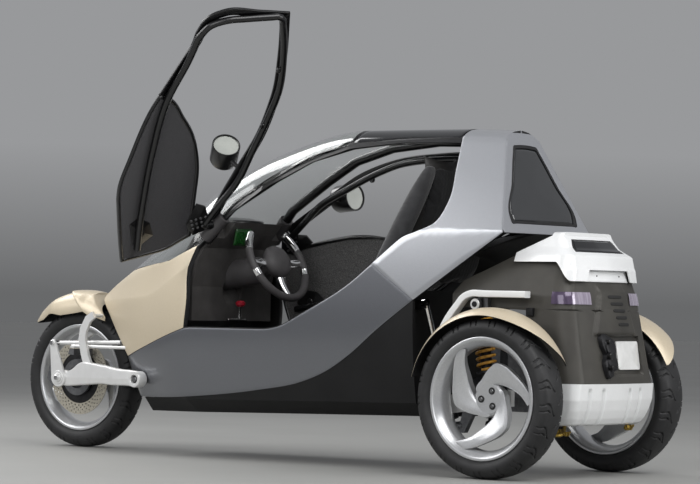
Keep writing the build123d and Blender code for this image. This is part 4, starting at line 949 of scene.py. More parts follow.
class OBJECT_OT_rear_module(bpy.types.Operator):
    """Engine cover with vents and plate recess, silver cap, lower cover and lamps"""
    bl_idname = "three_wheeler.rear_module"
    bl_label = "Rear module"

    def execute(self, context):
        """The cover stacks plan outlines by height; clipped ramps raise its rear face round the vents and
        sink it round the plate."""
        heights = np.r_[np.linspace(362, 639, 50), np.linspace(640, 918, 56)]
        rings = np.stack([cover_ring(z, count=420) for z in heights])
        y, z = rings[..., 1], rings[..., 2]
        rear = rings[..., 0] < rear_at(230, z) + 8
        half = np.interp(z, (545, 697), (146, 96))
        swell = 13 * clamped((half - np.abs(y)) / 9) * clamped((z - 541) / 10) * clamped((738 - z) / 26)
        recess = 15 * clamped((129 - np.abs(y + 58)) / 4) * clamped((73 - np.abs(z - 468)) / 4)
        rings[..., 0] += np.where(rear, recess - swell, 0)
        top = rings[-1:].mean(1, keepdims=True)
        rings = np.concatenate([rings, rings[-1:] * 0.5 + top * 0.5, np.repeat(top, rings.shape[1], 1)])
        make("cover_shell", [grid(rings, round_cols=True)], ["cover_plastic"], "rear_module",
             ["engine_cover"], sharp=32)
        vents = [self.slot(-42 - 9.8 * i, 52 - 13 * i, 690 - 26 * i) for i in range(5)]
        # the vent slots are strips painted dark as shade
        make("cover_vents", vents, ["dark_recess"], "rear_module", solid=0.003, closed=False)
        self.cap()
        self.lamps()
        self.lower_cover()
        self.plate()
        self.frame_bars()
        return {"FINISHED"}

    def slot(self, y_low, y_high, z):
        """A slot painted dark as shade in the raised middle of the rear face: a strip whose height falls to
        nothing at both ends with the root of one less the eighth power of the place along it."""
        u, v = np.meshgrid(np.linspace(-1, 1, 41), np.linspace(-1, 1, 5), indexing="ij")
        y = (y_low + y_high) / 2 + (y_high - y_low) / 2 * u
        up = z + 6 * v * np.sqrt(np.maximum(1 - u ** 12, 0))
        return outward(grid(np.stack([rear_at(y, up) - 14.8, y, up], -1)), (0, 0, z))

    def cap_at(self, z, share):
        """The cap's outline 14 mm off the cover, with a lip behind; share runs from -1, the right front end,
        over the middle of the rear to 1, the left front end."""
        heights = np.linspace(740, 918, 60)
        table = []
        for height in heights:
            lip = np.interp(height, (745, 800, 842, 852, 872, 918), (2, 9, 24, 17, 2, 0))
            half = half_outline(height, 14)
            wider = np.interp(height, (745, 800, 842, 852, 872, 918), (0, 9, 27, 24, 4, 0))
            half[:, 1] += wider * np.clip((-90 - half[:, 0]) / 110, 0,
                                          1) * (half[:, 1] / half[:, 1].max()) ** 2
            half[:, 0] -= lip * clamped((-90 - half[:, 0]) / 100)
            limit = min(38.0, row_at(height, COVER, 14)[1] - 8)
            keep = half[half[:, 0] < limit]
            table.append(along(np.vstack([keep, (limit, half[-3, 1])]), 61, False))
        table = np.stack(table)
        at = np.clip((z - 740) / 178 * 59, 0, 58.999)
        row, part = at.astype(int), (at % 1)[..., None]
        spot = np.abs(share) * 60
        low = np.minimum(spot.astype(int), 59)
        mix = (spot - low)[..., None]
        one = table[row, low] * (1 - mix) + table[row, low + 1] * mix
        two = table[row + 1, low] * (1 - mix) + table[row + 1, low + 1] * mix
        xy = one * (1 - part) + two * part
        return np.stack([xy[..., 0], xy[..., 1] * np.sign(share), z], -1)

    def cap(self):
        """Silver cap over the cover's top: its lower edge is notched behind and runs forward as a wing on
        each side; the rows above close over the top."""
        share = np.linspace(-1, 1, 241)
        edge = self.cap_at(np.full(241, 790.0), share)
        step = clamped((edge[:, 0] + 222) / 62)
        low = 746 + 72 * step ** 2 * (3 - 2 * step)
        low += 44 * clamped((149 - np.abs(edge[:, 1])) / 12) * (step == 0)
        rows = [self.cap_at(low + (918 - low) * t, share) for t in np.linspace(0, 1, 44)]
        for up, shrink in ((6, 0.98), (11, 0.94), (14, 0.86), (14, 0.4), (14, 0.0)):
            rows.append(rows[43] * (1, shrink, 1) + (0, 0, up))
        make("cap_band", [outward(grid(np.stack(rows)), (0, 0, 780))], ["trim_silver"], "rear_module",
             ["rear_cap"], solid=SHEET, bevel=0.001, closed=False, sharp=40)
        y, z = np.meshgrid(np.linspace(-1, 1, 40), np.linspace(745, 791, 8), indexing="ij")
        y = y * np.interp(z, (745, 791), (158, 150))
        pocket = np.stack([rear_at(y, z, 4), y, z], -1)
        # the screw holes are painted dark as shade
        screws = [rod((rear_at(side, 768, 4), side, 768), (rear_at(side, 768, 6), side, 768), 3.2, 1)
                  for side in (-79, 79)]
        make("cap_pocket", [outward(grid(pocket), (0, 0, 780))] + screws, ["trim_silver", "dark_recess"],
             "rear_module", solid=0.002, closed=False)
        share, z = np.meshgrid(np.linspace(-1, 1, 60), np.linspace(857, 905, 14), indexing="ij")
        for name, paint, tall, wide, lift, replaced in (
                ("cap_glass_seal", "seal_rubber", 1.0, 1.0, 0.6, ()),
                ("cap_glass", "roof_glass", 0.8, 0.93, 1.6, ("cap_window",))):
            height = 881 + (z - 881) * tall
            reach = np.interp(height, (857, 905), (0.40, 0.54)) * wide
            pane = self.cap_at(height, share * reach) - (lift, 0, 0)
            make(name, [outward(grid(pane), (0, 0, 780))], [paint], "rear_module", replaced,
                 solid=0.003, closed=False)

    def lamps(self):
        """Corner lamps: strips of the cover's outline, violet round the corner and pale behind."""
        heights = np.linspace(659, 705, 8)
        strips = []
        for side in (1, -1):
            rings = []
            for z in heights:
                half = half_outline(z, 3.5)
                keep = half[(half[:, 1] > 137) & (half[:, 0] < -160)]
                start = (rear_at(137.0, z, 3.5), 137.0)
                rings.append(np.column_stack([along(np.vstack([start, keep, (-160, keep[-1, 1])]), 61, False),
                                              np.full(61, z)]))
            rings = np.stack(rings) * (1, side, 1)
            strips += [outward(grid(rings[:, :34], paint=1), (0, 0, 680)),
                       outward(grid(rings[:, 33:], paint=0), (0, 0, 680))]
        make("tail_lenses", strips, ["lamp_violet", "lamp_pale"], "rear_module", ["tail_lamps"],
             closed=False)

    def lower_cover(self):
        """Lower silver cover: plan outlines that tuck in below, with four upright flutes pressed inwards."""
        heights = np.r_[np.linspace(204, 232, 12), np.linspace(236, 361.5, 34)]
        rings = np.stack([cover_ring(z, 0, 520, LOWER) for z in heights])
        y, z = rings[..., 1], rings[..., 2]
        rear = rings[..., 0] < -236
        flute = sum(np.exp(-((y - c - (z - 280) * 0.06) / 9) ** 4) for c in (196, 113, -66, -150))
        rings[..., 0] += np.where(rear, 13 * flute * clamped((344 - z) / 12), 0)
        floor = rings[:1].mean(1, keepdims=True)
        roof = rings[-1:].mean(1, keepdims=True)
        rings = np.concatenate([np.repeat(floor, 520, 1), rings, np.repeat(roof, 520, 1)])
        make("lower_shell", [grid(rings, round_cols=True)], ["trim_silver"], "rear_module",
             ["lower_cover"], sharp=40)
        fittings = []
        for x, y, z, size in ((-150, 196, 176, 1.0), (-128, 228, 168, 0.8), (-176, 170, 170, 0.7),
                              (-236, -176, 190, 0.9)):
            nut = spun(np.array([(0, -20), (11, -20), (14, -16), (14, -5), (9, -4), (9, 4), (14, 5), (14, 16),
                                 (11, 20), (0, 20)]) * size, (x, y, z), 6, closed_profile=False)
            fittings += nut + [rod((x + 4, y - 46 * size, z + 6), (x - 2, y + 34 * size, z - 2), 6 * size)]
        fittings += swept(along([(-130, 120, 214), (-160, 160, 182), (-170, 205, 166), (-140, 240, 172),
                                 (-110, 246, 196)], 30), circle(7, 12))
        make("pipe_unions", fittings, ["zinc_yellow"], "rear_module")

    def frame_bars(self):
        """Rear frame: bent box bars beside the cover, the lean bearing's housing, spine, arm beam and
        feet."""
        corner = np.linspace(0, pi / 2, 5)
        quarter = np.stack([9 + 4 * np.cos(corner), 15 + 4 * np.sin(corner)], -1)
        box = around(quarter) - (0, 3)
        line = along([(-72, 300, 692), (120, 300, 692), (178, 300, 692), (212, 300, 678), (240, 300, 648),
                      (292, 300, 582), (310, 300, 548), (309, 300, 500), (302, 300, 252)], 70)
        bars = swept(line, box, (0, 1, 0))
        slope = (300 - 60) / (2400 - 450)
        tilt = np.array([1, 0, -slope])

        def on_axis(x):
            return np.array([x, 0, 60 + (2400 - x) * slope])

        ends = [on_axis(x) for x in (215, 221, 339, 345)]
        housing = rod(ends[0], ends[3], 52, 1, 48)
        beam = rod((300, -296, 262), (300, 296, 262), 20, 1, 32)
        parts = bars + [mirrored(part) for part in bars] + [housing, beam]
        parts.append(plate([(-110, 240), (250, 240), (250, 299.7), (-110, 299.7)], -70, 70, 1))
        parts.append(plate([(-60, 190), (60, 190), (60, 242), (-60, 242)], -60, 60, 1))
        parts.append(plate([(-86, 612), (-56, 612), (-56, 642), (-86, 642)], -283, 283, 2))
        foot = plate([(280, 262), (320, 258), (340, 190), (340, 152), (318, 152), (280, 225)], 106, 134, 1)
        square = unit(np.array([slope, 0, 1.0]))
        ahead = unit(tilt)
        heel = on_axis(388) + square * -134 + (0, 120, 0)
        pins = [rod(heel - ahead * 44, heel - ahead * 8.3, 18, 1, 28),
                rod(heel - ahead * 12, heel + ahead * 12, 8, 2, 20)]
        lug = plate([(112, 640), (168, 640), (168, 668), (150, 682), (112, 676)], 268, 292, 1)
        bolt = rod((140, 262, 660), (140, 306, 660), 9, 2, 24)
        cast = rod((160, 285, 652), (160, 309, 652), 21, 3, 32)
        eye = rod((160, 305, 652), (160, 314, 652), 11, 2, 24)
        for part in (foot, *pins, lug, bolt, cast, eye):
            parts += [part, mirrored(part)]
        make("frame_parts", parts, ["trim_silver", "cast_dark", "dark_steel", "cast_alloy"], "rear_module",
             ["module_frame"], sharp=40)
        self.springs()

    def springs(self):
        """Helical springs: a round wire carried along nine turns between the perches."""
        low, high = np.array([96, 298, 352.0]), np.array([140, 298, 660.0])
        way = unit(high - low)
        side = np.array([0, 1.0, 0])
        rise = np.cross(way, side)
        t = np.linspace(0, 1, 330)[:, None]
        length = np.linalg.norm(high - low)
        turn = 2 * pi * 9 * t
        line = low + way * (52 + (length - 102) * t) + 34 * (np.cos(turn) * side + np.sin(turn) * rise)
        coil = swept(line, circle(5.6, 12), way)
        make("yellow_coils", coil + [mirrored(part) for part in coil], ["spring_yellow"], "rear_module",
             ["coil_springs"])

    def plate(self):
        """Bare plate with rounded corners in its recess, and the catch beside it."""
        corner = np.linspace(0, pi / 2, 8)
        w, h, r = 85, 54, 9
        quarter = np.stack([w - r + r * np.cos(corner), h - r + r * np.sin(corner)], -1)
        yz = around(quarter) + (-88, 468)
        rows = []
        for share, up in ((0, -6), (1, -6), (1, 0), (0.98, 1), (0, 1)):
            ring = (-88, 468) + (yz - (-88, 468)) * share
            x = (np.interp(ring[:, 1], COVER[:, 0], COVER[:, 1]) + 13
                 + 22 * (np.abs(ring[:, 0]) / 280) ** 1.5 - 4 - up)
            rows.append(np.column_stack([x, ring]))
        make("bare_plate", [grid(np.stack(rows), round_cols=True)], ["plate_white"], "rear_module")
        block = along(np.array([(-20, 74), (0, 80), (16, 74), (40, 66), (52, 56), (56, 20), (50, 0),
                                (58, -24), (54, -56), (30, -64), (20, -84), (0, -88), (-12, -66), (-18, -30),
                                (-6, 0), (-20, 30)]) * (-1, 1) + (98, 470), 90, close=True)
        middle = block.mean(0)
        rows = []
        for share, up in ((0, -4), (1, -4), (1, 16), (0.94, 22), (0.72, 24), (0.66, 30), (0.4, 32), (0, 32)):
            ring = middle + (block - middle) * share
            rows.append(np.column_stack([rear_at(ring[:, 0], ring[:, 1]) + 4 - up, ring]))
        knobs = [rod((rear_at(98, z) - 20, 98, z), (rear_at(98, z) - 38, 98, z), size, 1, 24) for z,
                 size in ((520, 9), (468, 13), (424, 9))]
        make("catch", [grid(np.stack(rows), round_cols=True)] + knobs, ["dark_steel", "powder_black"],
             "rear_module")


class OBJECT_OT_fenders(bpy.types.Operator):
    """Rear and front wheel guards"""
    bl_idname = "three_wheeler.fenders"
    bl_label = "Fenders"

    def execute(self, context):
        """Rear guards turn about the axle: the radius falls with the power 2.6 of the distance from the
        middle, and the outer edge draws in with the fourth power of the angle towards the tip."""
        centre = np.array([0, 430, WHEEL_RADIUS], float)
        angle = np.linspace(13, 156, 90)[:, None]
        across = np.linspace(-1, 1, 31)[None, :]
        fall = clamped((angle - 78) / 78.4)
        outer = 72 + 8 * clamped((angle - 13) / 50) - 146 * fall ** 4
        inner = -64 - 12 * clamped((angle - 13) / 50) + 5 * fall
        y = (outer + inner) / 2 + (outer - inner) / 2 * across
        radius = 341 - 34 * np.abs(y / 84) ** 2.6
        a = np.radians(angle)
        guard = outward(grid(np.stack([np.cos(a) * radius, y, np.sin(a) * radius], -1) + centre),
                        (0, 430, 300))
        stay = plate([(-18, 296), (18, 296), (12, 606), (-12, 606)], 336.5, 343)
        make("rear_guards", [guard, mirrored(guard)], ["champagne", "tub_plastic"], "rear_module",
             ["rear_fenders"], solid=SHEET, bevel=0.0008, closed=False)
        make("guard_stays", [stay, mirrored(stay)], ["dark_steel"], "rear_module")
        self.front()
        self.arms()
        return {"FINISHED"}

    def arms(self):
        """Leading arms: a smooth outline drawn out square to the arm's own plane, its edges quarter rounds
        and its faces crowned, with turned bosses and nuts at both ends; the lever is the outline round two
        circles."""
        outline = [(-28, -18), (-16, -27), (0, -31), (60, -28), (180, -27), (240, -23), (300, -26),
                   (420, -33), (500, -34), (538, -26), (552, 0), (538, 26), (505, 32), (470, 28), (432, 42),
                   (400, 60), (368, 68), (325, 65), (250, 57), (120, 41), (0, 31), (-16, 27), (-28, 18)]
        line = along(outline, 170, close=True)
        run = unit(np.roll(line, -1, 0) - np.roll(line, 1, 0))
        inwards = np.stack([-run[:, 1], run[:, 0]], -1)
        middle = np.column_stack([np.clip(line[:, 0], 0, 520), np.zeros(len(line))])
        layers = []
        for face in (-1, 1):
            turn = np.linspace(pi / 2, 0, 6)
            rows = [np.column_stack([line + inwards * 9 * (1 - cos(a)),
                                     np.full(len(line), face * (9 + 8 * sin(a)))]) for a in turn]
            core = [np.column_stack([line * (1 - t) + middle * t + inwards * 9 * (1 - t),
                                     np.full(len(line), face * (17 + 3 * t))]) for t in (1, 0.7, 0.35)]
            layers += core + rows if face < 0 else rows[::-1] + core[::-1]
        points, faces, _ = grid(np.stack(layers), round_cols=True)
        way = unit(np.array([510, -98, 0.0]))
        out = np.array([-way[1], way[0], 0])
        rise = points[:, 1:2] + 309 - 9 * clamped(points[:, :1] / 520)
        arm = np.array([1890, 250, 0]) + points[:, :1] * way + points[:, 2:] * out + rise * (0, 0, 1)
        ring = [(0, -8), (16, -8), (18, -9), (18, 0), (20, 2), (31, 2), (34, -2), (34, -44), (0, -44)]
        boss = spun(ring, (1890, 278, 309), 48, closed_profile=False)
        nut = spun([(0, 0), (10, 0), (12, -2), (12, -9)], (1890, 278, 309), 6, paint=1, closed_profile=False)
        # the floor of the boss's hollow is a disc painted dark as shade
        cup = spun([(0, -7.4), (16.5, -7.4)], (1890, 278, 309), 32, paint=2, closed_profile=False)
        turn = np.radians(np.linspace(0, 360, 60, endpoint=False))
        high = (np.sin(turn) > 0.12)[:, None]
        lever = np.where(high, np.array([2438, 447]) + 15 * np.stack([np.cos(turn), np.sin(turn)], -1),
                         np.array([2402, 300]) + 40 * np.stack([np.cos(turn), np.sin(turn)], -1))
        lever = plate(lever, 172, 183)
        hub = spun([(0, 14), (17, 14), (19, 12), (19, 8), (27, 8), (30, 5), (30, -30)], (2402, 178, 300), 48,
                   closed_profile=False)
        hub_nut = spun([(0, 22), (10, 22), (12, 20), (12, 12)], (2402, 178, 300), 6, paint=1,
                       closed_profile=False)
        parts = []
        for part in [(arm, faces, 0)] + boss + nut + cup:
            parts += [part, mirrored(part)]
        parts += [rod((2400, -150, 300), (2400, 150, 300), 15, 1), rod((2400, 0, 244), (2400, 0, 356), 12, 1)]
        make("arm_castings", parts, ["cast_alloy", "bolt_steel", "dark_recess"], "cabin",
             ["leading_arms"], sharp=40)
        rods = [rod((2438, 141, 447), (2084, 141, 457), 9), rod((2438, 135, 447), (2438, 192, 447), 10, 1)]
        make("lever_plate", [lever] + hub + hub_nut + rods, ["cast_alloy", "polished", "bolt_steel"], "cabin",
             ["reaction_rod"], sharp=40)

    def front(self):
        """Front guard: a beak turned about the front axle that narrows to its tip, and a saddle behind it."""
        tip = 2640 + 51 * np.sin(np.linspace(0.04, pi / 2, 14))
        along_x = np.r_[np.linspace(2322, 2640, 44), tip][:, None]
        turn = np.linspace(-pi / 2, pi / 2, 41)[None, :]

        def arch(power):
            return np.sign(np.sin(turn)) * np.abs(np.sin(turn)) ** power, np.cos(turn) ** power

        crown = WHEEL_RADIUS + np.sqrt(371.0 ** 2 - (along_x - WHEELBASE) ** 2)
        foot = np.interp(along_x, (2322, 2400, 2480, 2524, 2550, 2580, 2604, 2692),
                         (588, 575, 565, 571, 570, 553, 543, 528))
        half = np.interp(along_x, (2310, 2400, 2480, 2540, 2580, 2640, 2675, 2691),
                         (97, 97, 96, 90, 77, 47, 24, 3))
        wide, tall = arch(0.82)
        beak = np.stack([along_x + 0 * wide, half * wide, foot + (crown - foot) * tall], -1)
        along_x = np.linspace(2204, 2420, 40)[:, None]
        crown = WHEEL_RADIUS + np.sqrt(377.0 ** 2 - (along_x - WHEELBASE) ** 2)
        foot = np.interp(along_x, (2204, 2240, 2290, 2330, 2385, 2420), (545, 556, 566, 585, 640, 668))
        half = np.interp(along_x, (2204, 2280, 2360, 2400, 2420), (112, 121, 118, 104, 84))
        wide, tall = arch(0.95)
        saddle = np.stack([along_x + 0 * wide, half * wide, foot + (crown - foot) * tall], -1)
        limit = np.interp(saddle[..., 2], (560, 657), (2202, 2314))
        saddle[..., 0] = np.maximum(saddle[..., 0], limit)
        make("front_guard", [outward(grid(beak), (2450, 0, 500)), outward(grid(saddle), (2330, 0, 500))],
             ["champagne", "tub_plastic"], "cabin", ["front_fender"], solid=SHEET, bevel=0.0008,
             closed=False)


def on_column(distance):
    """A point on the steering column's axis ahead of the wheel's centre."""
    return STEER + distance * np.array([cos(radians(COLUMN_TILT)), 0, -sin(radians(COLUMN_TILT))])


class OBJECT_OT_steering(bpy.types.Operator):
    """Open topped steering wheel with its round hub"""
    bl_idname = "three_wheeler.steering"
    bl_label = "Steering wheel"

    def execute(self, context):
        """The rim is a tube along an open circle about the column, the spokes are flat tubes along bent
        lines, hub and shroud are turned about the column."""
        ahead = unit(on_column(1) - STEER)
        across = np.array([0, 1.0, 0])
        up = np.cross(ahead, across)
        up = up * np.sign(up[2])
        angle = np.radians(np.linspace(90 + 39, 90 + 360 - 39, 90))
        path = STEER + 165 * (np.cos(angle)[:, None] * across + np.sin(angle)[:, None] * up)
        grow = 1 - 0.25 * clamped(np.abs(np.linspace(-1, 1, 90)) - 0.9) * 10
        rim = swept(path, circle(16, 18), ahead, scale=grow)
        tips = [swept(path[sl], circle(16.8, 18), ahead, paint=1, scale=g) for sl,
                g in ((slice(0, 11), np.r_[0.8, np.ones(10)]), (slice(-11, None), np.r_[np.ones(10), 0.8]),
                      (slice(20, 24), None), (slice(-24, -20), None))]
        hub = lathed([(0, -34), (30, -33), (56, -26), (70, -10), (72, 6), (64, 24), (40, 36), (0, 36)], STEER,
                     ahead)
        spokes = []
        for turn in (180, 0, 270):
            way = cos(radians(turn)) * across + sin(radians(turn)) * up
            line = along([STEER + way * 48 + ahead * 6, STEER + way * 104 + ahead * 9, STEER + way * 160], 16)
            spokes += swept(line, circle(17, 14, 0.45), ahead, paint=1, scale=np.linspace(1.3, 0.9, 16))
        shaft = rod(on_column(10), on_column(150), 23)
        parts = rim + [p for t in tips for p in t] + [hub] + spokes + [shaft]
        make("wheel_rim", parts, ["column_grey", "polished"], "steering_wheel",
             ["steering_wheel"], sharp=40)
        start, end = on_column(72), np.array([1646, 0, 748.0])
        axis = unit(end - start)
        length = float(np.linalg.norm(end - start))
        cone = [(24.5, 12), (24.5, 0), (46, 0), (52, 4), (56, 14), (60, length * 0.75), (63, length),
                (0, length)]
        make("column_shroud", [lathed(cone, start, axis)], ["column_grey"], "cabin",
             ["column_cover"], sharp=40)
        self.dash_fittings()
        return {"FINISHED"}

    def dash_fittings(self):
        """Brim over the dials, its green display, and a red knob on its lever."""
        t = np.linspace(0, 2 * pi, 90, endpoint=False)
        brim = np.stack([1600 + 104 * np.cos(t), 158 * np.sin(t)], -1)
        rows = []
        for share, z in ((0, 962), (0.9, 960), (1.0, 962), (1.0, 969), (0.97, 974), (0.6, 984), (0, 988)):
            rows.append(np.column_stack([1600 + (brim[:, 0] - 1600) * share, brim[:, 1] * share,
                                         np.full(90, z + 4.0)]))
        make("dial_brim", [grid(np.stack(rows), round_cols=True)], ["powder_black"], "cabin",
             sharp=40)
        y, z = np.meshgrid(np.linspace(30, 132, 6), np.linspace(872, 940, 6), indexing="ij")
        screen = np.stack([1498 - (z - 900) * 0.2 - 14, y, z], -1)
        make("green_display", [outward(grid(screen), (1600, 80, 900))], ["display_green"], "cabin",
             solid=SHEET, closed=False)
        lever = [rod((1520, 52, 560), (1505, 60, 622), 6, 1), rod((1508, 20, 566), (1500, 150, 566), 5, 1)]
        knob = lathed([(0, 0), (12, 0), (19, 6), (21, 16), (14, 24), (0, 26)], np.array([1505, 60, 620.0]),
                      np.array([0.02, 0, 1.0]))
        make("red_knob", [knob] + lever, ["red_plastic", "polished"], "cabin")
        pedals = [plate([(1668, 330 + lift), (1676, 330 + lift), (1700, 410 + lift), (1692, 412 + lift)],
                        y - 26, y + 26) for y, lift in ((70, 0), (-10, 6), (-90, 0))]
        stalks = [rod((1692, y, 400 + lift), (1720, y, 520 + lift), 7) for y,
                  lift in ((70, 0), (-10, 6), (-90, 0))]
        make("foot_pedals", pedals + stalks, ["dark_steel"], "cabin")


def pad(name, centre, size, axes, paint, power):
    """A cushion: a superellipsoid of the given half sizes, thinner towards its edges, puffed by cloth
    pressure inside Blender."""
    u = np.linspace(0, 2 * pi, 64, endpoint=False)[None, :]
    v = np.linspace(-pi / 2, pi / 2, 33)[:, None]

    def bent(value, p):
        return np.sign(value) * np.abs(value) ** (2 / p)

    x, y = bent(np.cos(v), 2.6) * bent(np.cos(u), power), bent(np.cos(v), 2.6) * bent(np.sin(u), power)
    z = bent(np.sin(v), 2.6) + 0 * u
    local = np.stack([x * size[0], y * size[1], z * size[2] * (1 - 0.25 * (x ** 2 + y ** 2))], -1)
    axes = np.array([unit(np.array(a, float)) for a in axes])
    points = local @ axes + np.array(centre, float)
    piece = make(name, [grid(points, round_cols=True)], [paint], "cabin", sharp=180)
    puff(piece, PAD_SWELL)


def puff(piece, cap):
    """Remesh the pad, blow it up with cloth pressure for 20 frames, cap the movement and keep the result."""
    scene = bpy.context.scene
    start = scene.frame_current
    remesh = piece.modifiers.new("Remesh", "REMESH")
    remesh.mode, remesh.voxel_size = "VOXEL", 0.006
    bpy.context.view_layer.update()
    shape = bpy.data.meshes.new_from_object(piece.evaluated_get(bpy.context.evaluated_depsgraph_get()))
    piece.modifiers.clear()
    finish = list(piece.data.materials)
    piece.data = shape
    shape.materials.clear()
    for material in finish:
        shape.materials.append(material)
    rest = np.empty(len(shape.vertices) * 3, np.float32)
    shape.vertices.foreach_get("co", rest)
    cloth = piece.modifiers.new("Cloth", "CLOTH")
    cloth.settings.use_pressure = True
    cloth.settings.uniform_pressure_force = 4.0
    cloth.settings.effector_weights.gravity = 0.0
    cloth.point_cache.frame_start, cloth.point_cache.frame_end = 1, 20
    for number in range(1, 21):
        scene.frame_set(number)
    done = piece.evaluated_get(bpy.context.evaluated_depsgraph_get()).to_mesh()
    blown = np.empty(len(done.vertices) * 3, np.float32)
    done.vertices.foreach_get("co", blown)
    piece.evaluated_get(bpy.context.evaluated_depsgraph_get()).to_mesh_clear()
    piece.modifiers.clear()
    move = (blown - rest).reshape(-1, 3)
    size = np.linalg.norm(move, axis=1, keepdims=True)
    move *= np.minimum(1, cap / np.maximum(size, 1e-9))
    shape.vertices.foreach_set("co", (rest.reshape(-1, 3) + move).ravel())
    shape.polygons.foreach_set("use_smooth", np.ones(len(shape.polygons), bool))
    soft = piece.modifiers.new("Round", "SUBSURF")
    soft.levels = soft.render_levels = 1
    scene.frame_set(start)


class OBJECT_OT_seats(bpy.types.Operator):
    """Driver's seat and rear seat with padded backs and cushions"""
    bl_idname = "three_wheeler.seats"
    bl_label = "Seats"

    def execute(self, context):
        """The shell is two sheets along side view lines whose edges wrap up with a power of the distance from
        the middle; the cushions are pads on it."""
        way = np.array([-375, 0, 760.0])
        up, right = unit(way), np.array([0, 1.0, 0])
        out = np.cross(right, up)
        shell_line = along([(905, 400), (800, 470), (700, 680), (600, 900), (530, 1080), (500, 1180),
                            (512, 1212)], 40)
        half = along([(0, 150), (0.2, 186), (0.5, 186), (0.75, 164), (0.9, 140), (1, 108)], 40)[:, 1]
        v = np.linspace(-1, 1, 25)
        normal = np.array([0.9, 0.44])
        wrap = 46 * np.abs(v) ** 2.4
        x = shell_line[:, :1] + normal[0] * wrap
        z = shell_line[:, 1:] + normal[1] * wrap
        back = np.stack([x, half[:, None] * v, z], -1)
        base_line = along([(830, 420), (900, 394), (1100, 402), (1262, 428)], 24)
        base = np.stack([base_line[:, :1] + 0 * v, np.full((24, 1), 184.0) * v, base_line[:, 1:]
                         + 60 * np.abs(v) ** 3], -1)
        make("seat_shell", [outward(grid(back), (2000, 0, 1500)), outward(grid(base), (1000, 0, 2000))],
             ["trim_grey"], "cabin", ["seats"], solid=0.010, bevel=0.002, closed=False)
        pad("seat_back", (636, 0, 922), (300, 108, 34), (up, right, out), "seat_cloth", 6)
        for side, place in ((1, "left"), (-1, "right")):
            lean = unit(np.array([-375, -side * 88, 760.0]))
            pad(f"seat_wing_{place}", (646, side * 138, 922), (300, 36, 44),
                (lean, unit(np.cross(out, lean)), out), "seat_side", 6)
        pad("seat_base", (1060, 0, 456), (205, 168, 44), ((1, 0, 0.05), right, (-0.05, 0, 1)),
            "seat_cloth", 5)
        pad("rear_back", (432, 0, 900), (190, 130, 26),
            (unit(np.array([-120, 0, 420.0])), right, unit(np.array([420.0, 0, 120]))), "seat_cloth", 5)
        pad("rear_base", (600, 0, 575), (96, 128, 34), ((1, 0, 0), right, (0, 0, 1)), "seat_cloth", 5)
        return {"FINISHED"}


class OBJECT_OT_carried_nodes(bpy.types.Operator):
    """Finishes for the solids that show as they are"""
    bl_idname = "three_wheeler.carried_nodes"
    bl_label = "Solids' finishes"

    def execute(self, context):
        finishes = {"tub_plastic": ["belly_tub", "tail_liner"], "powder_black": ["pillar_frame"],
                    "dash_skin": ["dashboard"],
                    "cast_alloy": ["trailing_arms", "fender_bracket", "steering_link"],
                    "cast_dark": ["front_knuckle", "engine_block"],
                    "dark_steel": ["dampers", "cylinder_barrel_left", "cylinder_barrel_right"],
                    "polished": ["cylinder_rod_left", "cylinder_rod_right"],}
        for finish, names in finishes.items():
            for name in names:
                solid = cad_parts[name]
                solid.data.materials.clear()
                solid.data.materials.append(MATERIALS[finish])
        return {"FINISHED"}


